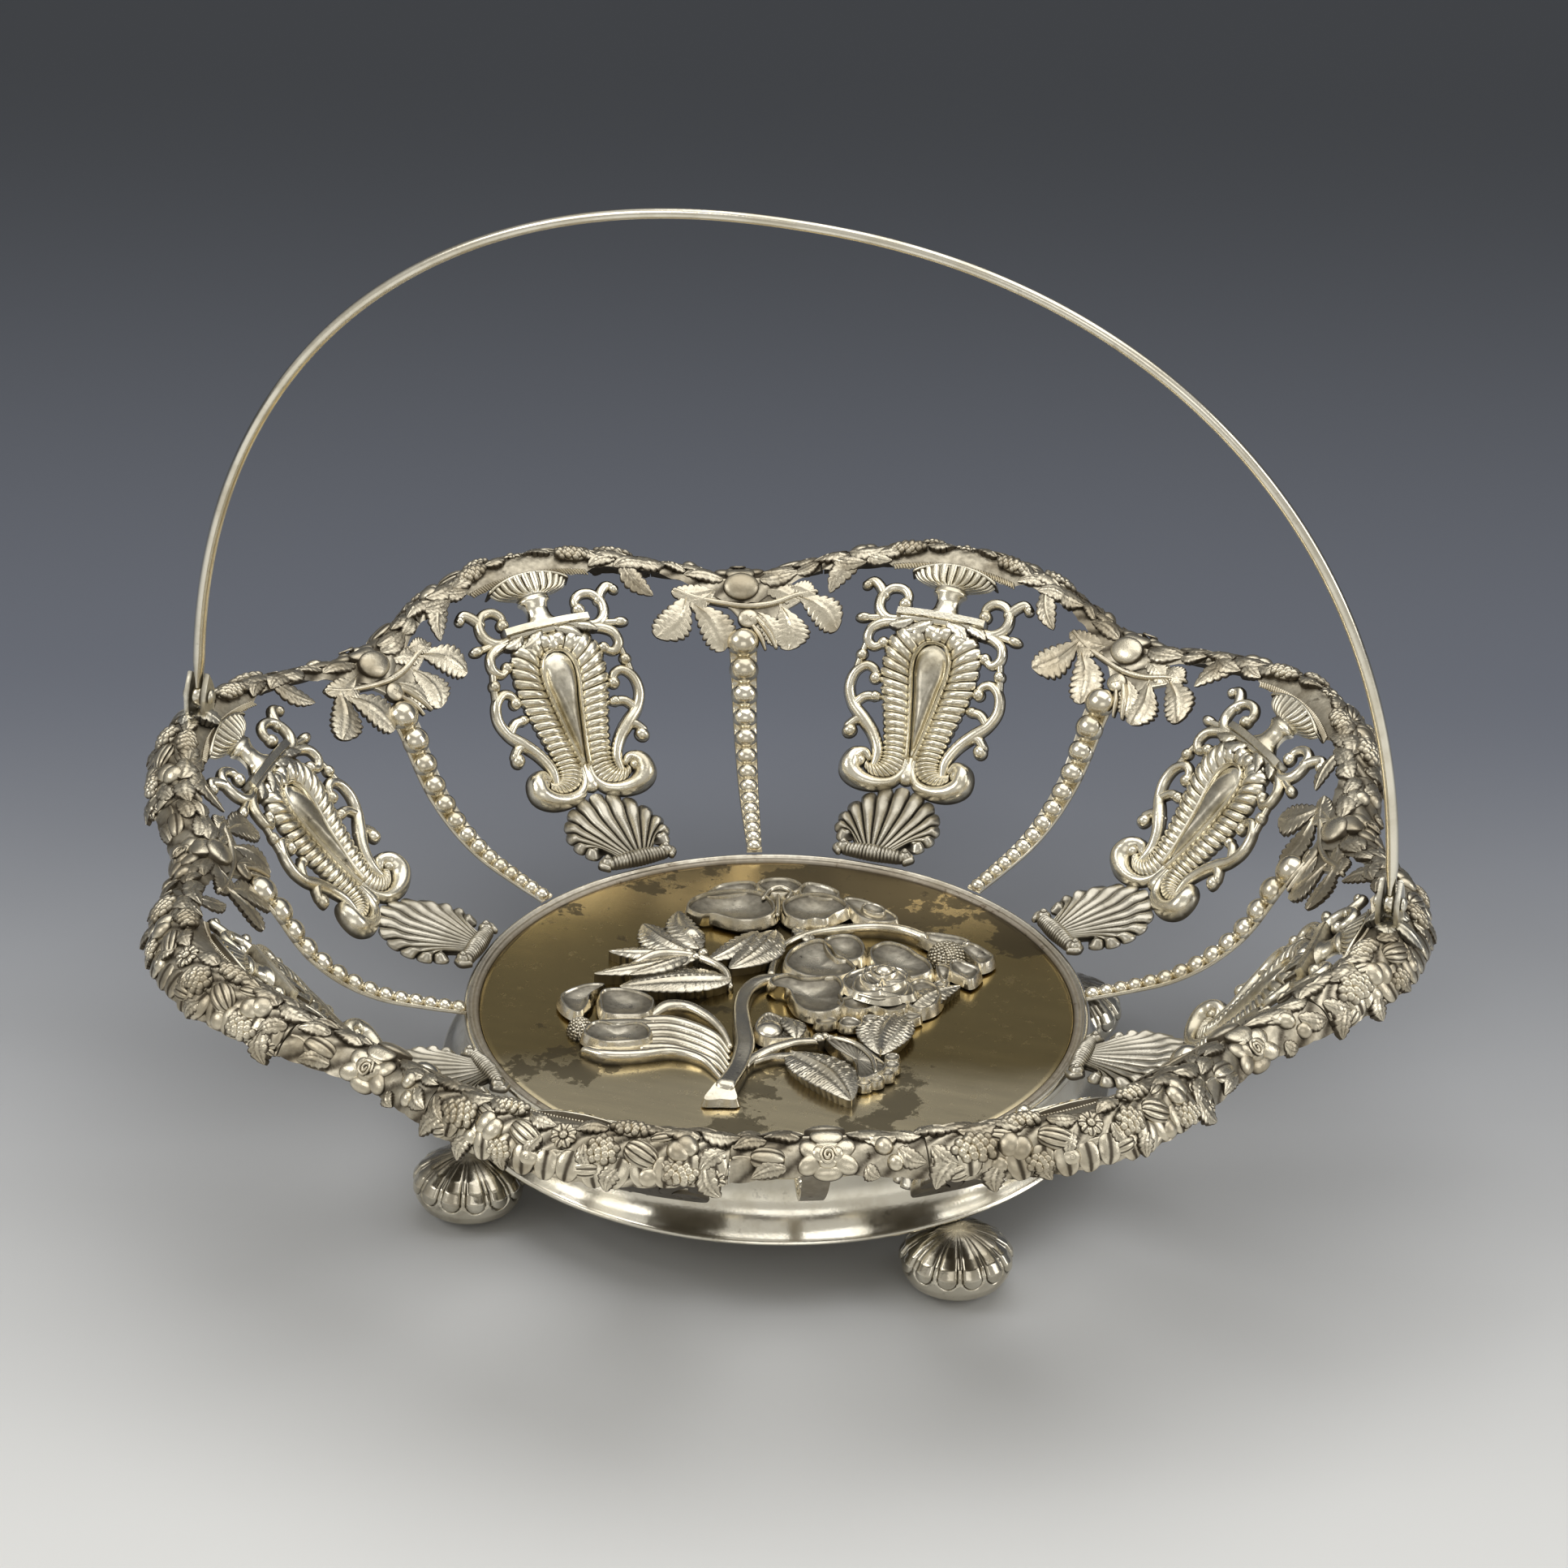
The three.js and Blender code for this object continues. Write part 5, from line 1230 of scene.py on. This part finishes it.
for base, tip, half in (((-9, 6.8), (-16.4, 8.8), 2.2), ((8.2, 6.6), (10.8, 9.2), 2.0),
                        ((15, 3.4), (20.4, 6.6), 2.4), ((-13.4, 1.0), (-20.4, 2.6), 2.1),
                        ((8, 0.6), (16, 0.2), 2.2), ((-6, 0.2), (-14, -0.6), 2.2),
                        ((4.6, -1.4), (14.6, -2.0), 2.5), ((-5, -1.6), (-15.4, -1.8), 2.4),
                        ((14, -1), (20.4, 0.6), 2.0), ((-14.6, -2.2), (-20.4, -0.4), 2.0)):
    leaf(rose, base, tip, half, 0.4, 1.4, teeth=6, rows=26, columns=9, cup=0.4)
dome(rose, 0, 0.2, 3.8, 0.9, 1.1, 9, 36, 0.62, bottom=-0.2)
rose_mesh = rose.mesh("rose_rim", on_rim(dip))

dip_line = wall_line([(0.538, 0.41), (0.631, 0.627), (0.7, 0.72), (0.79, 0.84), (0.84, 0.89)])
spray = Pattern()
dish(spray, [(-12, -3.2), (-7, -6.2), (-3, -8.2), (1.6, -13.2), (5.6, -13.6), (10.4, -9),
             (15.6, -4.8), (10, -1.4), (0, -0.6), (-8, -1.2)], 0.7, 0.2, -0.5, 0.3)
dome(spray, 0, -3.2, 4.3, 1.4, 1.7, 10, 36, 0.8, bottom=-0.4)
for base, tip, half in (((-13.2, -4.8), (-20.8, -14.4), 4.5), ((-11.4, -7.0), (-4.6, -18.8), 4.2),
                        ((9.6, -8), (10.8, -18.8), 4.2), ((14.2, -5.4), (22.6, -13.2), 4.2),
                        ((-6.2, -3.6), (-13.4, -6.2), 2.6), ((11.6, -3.2), (17.8, -5.0), 2.4),
                        ((-4.4, -3.2), (-16.8, -3.4), 2.3), ((4.6, -3.6), (13.6, -6.4), 2.5),
                        ((3.6, -9.4), (8.0, -17.6), 2.9)):
    leaf(spray, base, tip, half, 0.5, 1.2, thick=0.7, teeth=8, veins=8, rows=49, columns=13, cup=0.4,
         relief=0.6, tooth=0.22, blunt=True, bottom=None)
for stalk in ([(-16, -2.8, 0.7), (-11, -5.2, 0.8), (-5, -6.8, 0.9), (2, -7.8, 1.0), (8, -7, 0.9),
               (13, -5, 0.8), (18, -3.6, 0.6)],
              [(-14.6, -2.4, 0.5), (-12.4, -4.6, 0.6), (-11.6, -8, 0.6)],
              [(-11.4, -4.6, 0.5), (-12.6, -6.2, 0.5)], [(9.2, -6, 0.6), (9.4, -9, 0.5)],
              [(12, -5, 0.6), (15.4, -6.2, 0.5)]):
    rib(spray, stalk, 20, 1.6, 8, bottom=-0.5)
# the bud, with two slits and two sepals
bud_x, bud_y, slit = 1.5, -11.1, 0.9
dome(spray, bud_x, bud_y + 0.1, 2.6, 0.9, 0.8, 9, 24, 0.92, bottom=-0.5)
for aim in (0.6, 2.2):
    c, d = slit * math.cos(aim), slit * math.sin(aim)
    rib(spray, [(bud_x - c, bud_y - d, 0.16), (bud_x + c, bud_y + d, 0.16)], 6, 1.2, 5, base=1.6)
for sepal in ([(3.6, -11, 0.7), (5.8, -14, 0.9), (7.8, -18.2, 0.5)],
              [(2.6, -13, 0.6), (4.2, -15.6, 0.7), (5.2, -18.6, 0.4)]):
    rib(spray, sepal, 20, 1.7, bottom=-0.5, base=0.5)
join_meshes(rose_mesh, spray.mesh("rose_hang", bent_to(dip_line, wall_scale, top_down=True)))
show_round("rose_spray", rose_mesh, rim_silver, "rose_spray", 180 / lobes, lobes)


# Hinges: on two opposite garlands a leafy saddle carries a pair of pointed ears, riveted
# through with a pin on which the flattened end of the bail turns.
hinge_silver = silver("hinge_silver", (0.86, 0.82, 0.70), (0.62, 0.57, 0.44), (0.07, 0.06, 0.045),
                      0.26, 0.85, 0.8)
hinge_x, hinge_z = crest_radius, crest_top + 5.4
at_hinge = np.array([hinge_x, 0, hinge_z])
ear_near, ear_thick, ear_steps = 1.45, 1.2, 60
pin_radius, pin_gap = 0.8, 0.2
hole_radius = pin_radius + pin_gap
saddle = Pattern()
leaf(saddle, (0, -0.4), (0, 9.2), 2.5, 0.9, 1.9, bottom=0.55, veins=8)
leaf(saddle, (0, 1.6), (0, -5.4), 3.0, 1.2, 2.4, bottom=0.4, teeth=6, rows=43, columns=13)
for mirror in (1, -1):
    leaf(saddle, (mirror * 0.6, 0.2), (mirror * 6.4, 1.6), 2.0, 1.0, 2.0, bottom=0.4, teeth=5,
         veins=6, rows=36)
saddle_mesh = saddle.mesh("saddle", on_rim(0))
ear_side = [(2.9, -1), (2.7, 1.2), (1.7, 3.4), (0.5, 5.2)]
ear_line = [(-2.4, -4.6), *((-y, z) for y, z in ear_side), (0, 6.0), *ear_side[::-1], (2.4, -4.6),
            (-2.4, -4.6)]
ear_edge = smooth(ear_line, ear_steps + 1)[:-1]
ear_turn = np.arctan2(ear_edge[:, 1], ear_edge[:, 0])
hole = np.stack([np.cos(ear_turn), np.sin(ear_turn)], 1) * hole_radius
ears = Pattern()
for way in (1, -1):
    ear_rows = []
    # each row is a share of the way from the hole to the edge, and a share of the thickness
    for share, out in ((0, 0), (1, 0), (1, 0.75), (0.94, 1), (0.8, 0.9), (0.2, 0.9), (0.06, 1),
                       (0, 0.95), (0, 0)):
        ear_x = np.full(ear_steps, way * (ear_near + ear_thick * out))
        ear_rows.append(np.column_stack([ear_x, hole + (ear_edge - hole) * share]))
    ears.grid(np.stack(ear_rows), np.array([0.8, 0.8, 0.2, 0, 0.4, 0.4, 0.1, 0.6, 0.8])[:, None])
pin_out = ear_near + ear_thick + 0.15
rivet = [(pin_radius, 0), (1.65, 0), (1.6, 0.4), (1.1, 0.8), (0, 0.9)]
pin_line = [*((r, -pin_out - x) for r, x in rivet[::-1]), *((r, pin_out + x) for r, x in rivet)]
pin = Pattern()
pin.grid(turned_round(pin_line, 24)[..., [2, 0, 1]], 0.2)
join_meshes(saddle_mesh, ears.mesh("ears", lambda p: p + at_hinge))
pin_mesh = pin.mesh("pin", lambda p: p + at_hinge)
for side_name, turn in (("right", 0), ("left", 180)):
    for name, mesh in (("hinge_lug", saddle_mesh), ("hinge_pin", pin_mesh)):
        show_turned(f"{name}_{side_name}_silver", mesh, hinge_silver, f"{name}_{side_name}",
                    turn)


# Bail handle: one drawn silver wire bent to a near-round arch, a little thicker towards its
# ends, which are flattened into eyes for the hinge pins.
handle_rise = 139.3
wire_radius, wire_swell = 1.196, 0.22
flattened_share = 0.6875
eye_half, eye_radius, eye_round = 1.1, 2.4, 0.3
squareness = 2 / 2.2
arch_steps = 260
phi = np.linspace(0.012, math.pi - 0.012, arch_steps)
arch = np.stack([hinge_x * np.sign(np.cos(phi)) * np.abs(np.cos(phi)) ** squareness, 0 * phi,
                 hinge_z + handle_rise * np.sin(phi) ** squareness], 1)
wire_base = bpy.data.meshes.new("wire_base")
wire_base.from_pydata(arch * 0.001, [(k, k + 1) for k in range(arch_steps - 1)], [])
thickness = wire_base.attributes.new("thickness", "FLOAT", "POINT")
thickness.data.foreach_set("value", 1 + wire_swell * (1 - np.sin(phi)))
wire = Recipe("wire", Radius=wire_radius * 0.001)
wire_path = wire.node("GeometryNodeMeshToCurve", {0: wire.inputs["Geometry"]})[0]
wire_ring = wire.node("GeometryNodeCurvePrimitiveCircle", {0: 20, 4: wire.inputs["Radius"]})[0]
wire_scale = wire.node("GeometryNodeInputNamedAttribute", {0: "thickness"}, data_type="FLOAT")[0]
swept = wire.node("GeometryNodeCurveToMesh", {0: wire_path, 1: wire_ring, 2: wire_scale, 3: True})[0]
wire.finish(swept, polished_silver)
wire_mesh = wire.run(wire_base)
# both ends narrow to the flattened share of their width over the last millimetres above the eyes
wire_points = points_of(wire_mesh) * 1000
near_eye = np.clip(1 - (wire_points[:, 2] - hinge_z - 5) / 4, 0, 1)
half_arch = arch[:arch_steps // 2]
end_x = np.sign(wire_points[:, 0]) * np.interp(wire_points[:, 2], half_arch[:, 2], half_arch[:, 0])
wire_points[:, 0] = end_x + (wire_points[:, 0] - end_x) * (1 - near_eye * (1 - flattened_share))
wire_mesh.vertices.foreach_set("co", (wire_points * 0.001).ravel())
wire_mesh.materials.clear()
eye_line = [(hole_radius, -eye_half), (eye_radius - eye_round, -eye_half),
            (eye_radius, -eye_half + 0.35), (eye_radius, eye_half - 0.35),
            (eye_radius - eye_round, eye_half), (hole_radius, eye_half), (hole_radius, -eye_half)]
washer = turned_round(eye_line, 36)[..., [2, 0, 1]]
eye = Pattern()
for end in (1, -1):
    eye.grid(washer + [end * hinge_x, 0, hinge_z], 0.2)
join_meshes(wire_mesh, eye.mesh("eyes"))
wire_mesh.shade_smooth()
show("bail_wire", wire_mesh, polished_silver, "bail_handle", "handle")


# Camera, floor and light: the view of the photograph, a sheet of pale paper that runs into the
# shade behind the basket, four soft lamps, and a room whose far wall is dark low down.
view_turn, view_rise, view_distance = math.radians(17.6585), math.radians(30.5661), 1.6326
view_height = 0.02485
aim_up, aim_side, roll = math.radians(1.9449), math.radians(0.0225), math.radians(1.1982)
back = Vector((math.sin(view_turn) * math.cos(view_rise), -math.cos(view_turn) * math.cos(view_rise),
               math.sin(view_rise)))
forward = -back
right = forward.cross(Vector((0, 0, 1))).normalized()
up = right.cross(forward)
forward = (forward + right * math.tan(aim_side) + up * math.tan(aim_up)).normalized()
right = forward.cross(up).normalized()
up = right.cross(forward)
rolled_right = right * math.cos(roll) + up * math.sin(roll)
rolled_up = up * math.cos(roll) - right * math.sin(roll)
facing = Matrix((rolled_right, rolled_up, -forward)).transposed().to_4x4()
camera = placed("camera", bpy.data.cameras.new("camera"))
camera.matrix_world = Matrix.Translation(back * view_distance + Vector((0, 0, view_height))) @ facing
camera.data.lens = 165.23
camera.data.sensor_width = 36
camera.data.clip_start = 0.05
camera.data.clip_end = 50
bpy.context.scene.camera = camera

floor_half = 12
floor_mesh = bpy.data.meshes.new("floor")
floor_mesh.from_pydata([(-floor_half, -floor_half, 0), (floor_half, -floor_half, 0),
                        (floor_half, floor_half, 0), (-floor_half, floor_half, 0)], [], [(0, 1, 2, 3)])
floor = placed("floor", floor_mesh)
paper = Finish("floor_paint")
away = (paper.axis(paper.place, "Y") * math.cos(view_turn)
        - paper.axis(paper.place, "X") * math.sin(view_turn))
far = paper.blend(paper.step(away, 0.05, 0.62), (0.15, 0.165, 0.205), (0.029, 0.033, 0.041))
shade = paper.blend(paper.step(away, -0.24, 0.23), (0.82, 0.82, 0.805), far)
paper.feed(paper.inputs["Base Color"], shade)
paper.feed(paper.inputs["Roughness"], 0.7)
floor_mesh.materials.append(paper.material)


def lamp(name, place, target, width, height, power):
    data = bpy.data.lights.new(name, "AREA")
    data.shape = "RECTANGLE"
    data.size = width
    data.size_y = height
    data.energy = power
    light = placed(name, data)
    light.location = place
    light.rotation_euler = (Vector(target) - Vector(place)).to_track_quat("-Z", "Y").to_euler()


lamp_target = (0, 0, 0.05)
lamp("overhead", (0.1, 0.5, 2.3), lamp_target, 2.6, 2.2, 20)
lamp("key", (-1.5, -1.0, 1.7), lamp_target, 1.3, 1.1, 11)
lamp("front", (0.9, -2.2, 1.5), lamp_target, 1.6, 1.0, 4)
lamp("side", (1.8, 0.4, 0.9), lamp_target, 0.7, 1.4, 7)

world = bpy.data.worlds.new("studio")
world.use_nodes = True
bpy.context.scene.world = world
studio = Graph(world.node_tree)
direction = studio.node("ShaderNodeTexCoord")["Generated"]
wall_high = studio.step(studio.axis(direction, "Z"), 0.46, 0.76)
far_wall = studio.blend(wall_high, (0.10, 0.104, 0.116), (0.64, 0.63, 0.60))
behind = studio.step(studio.axis(direction, "Y"), -0.5, 0.9)
room = studio.blend(behind, (0.50, 0.49, 0.465), far_wall)
studio.feed(world.node_tree.nodes["Background"].inputs["Color"], room)
bpy.context.scene.view_settings.view_transform = "Standard"
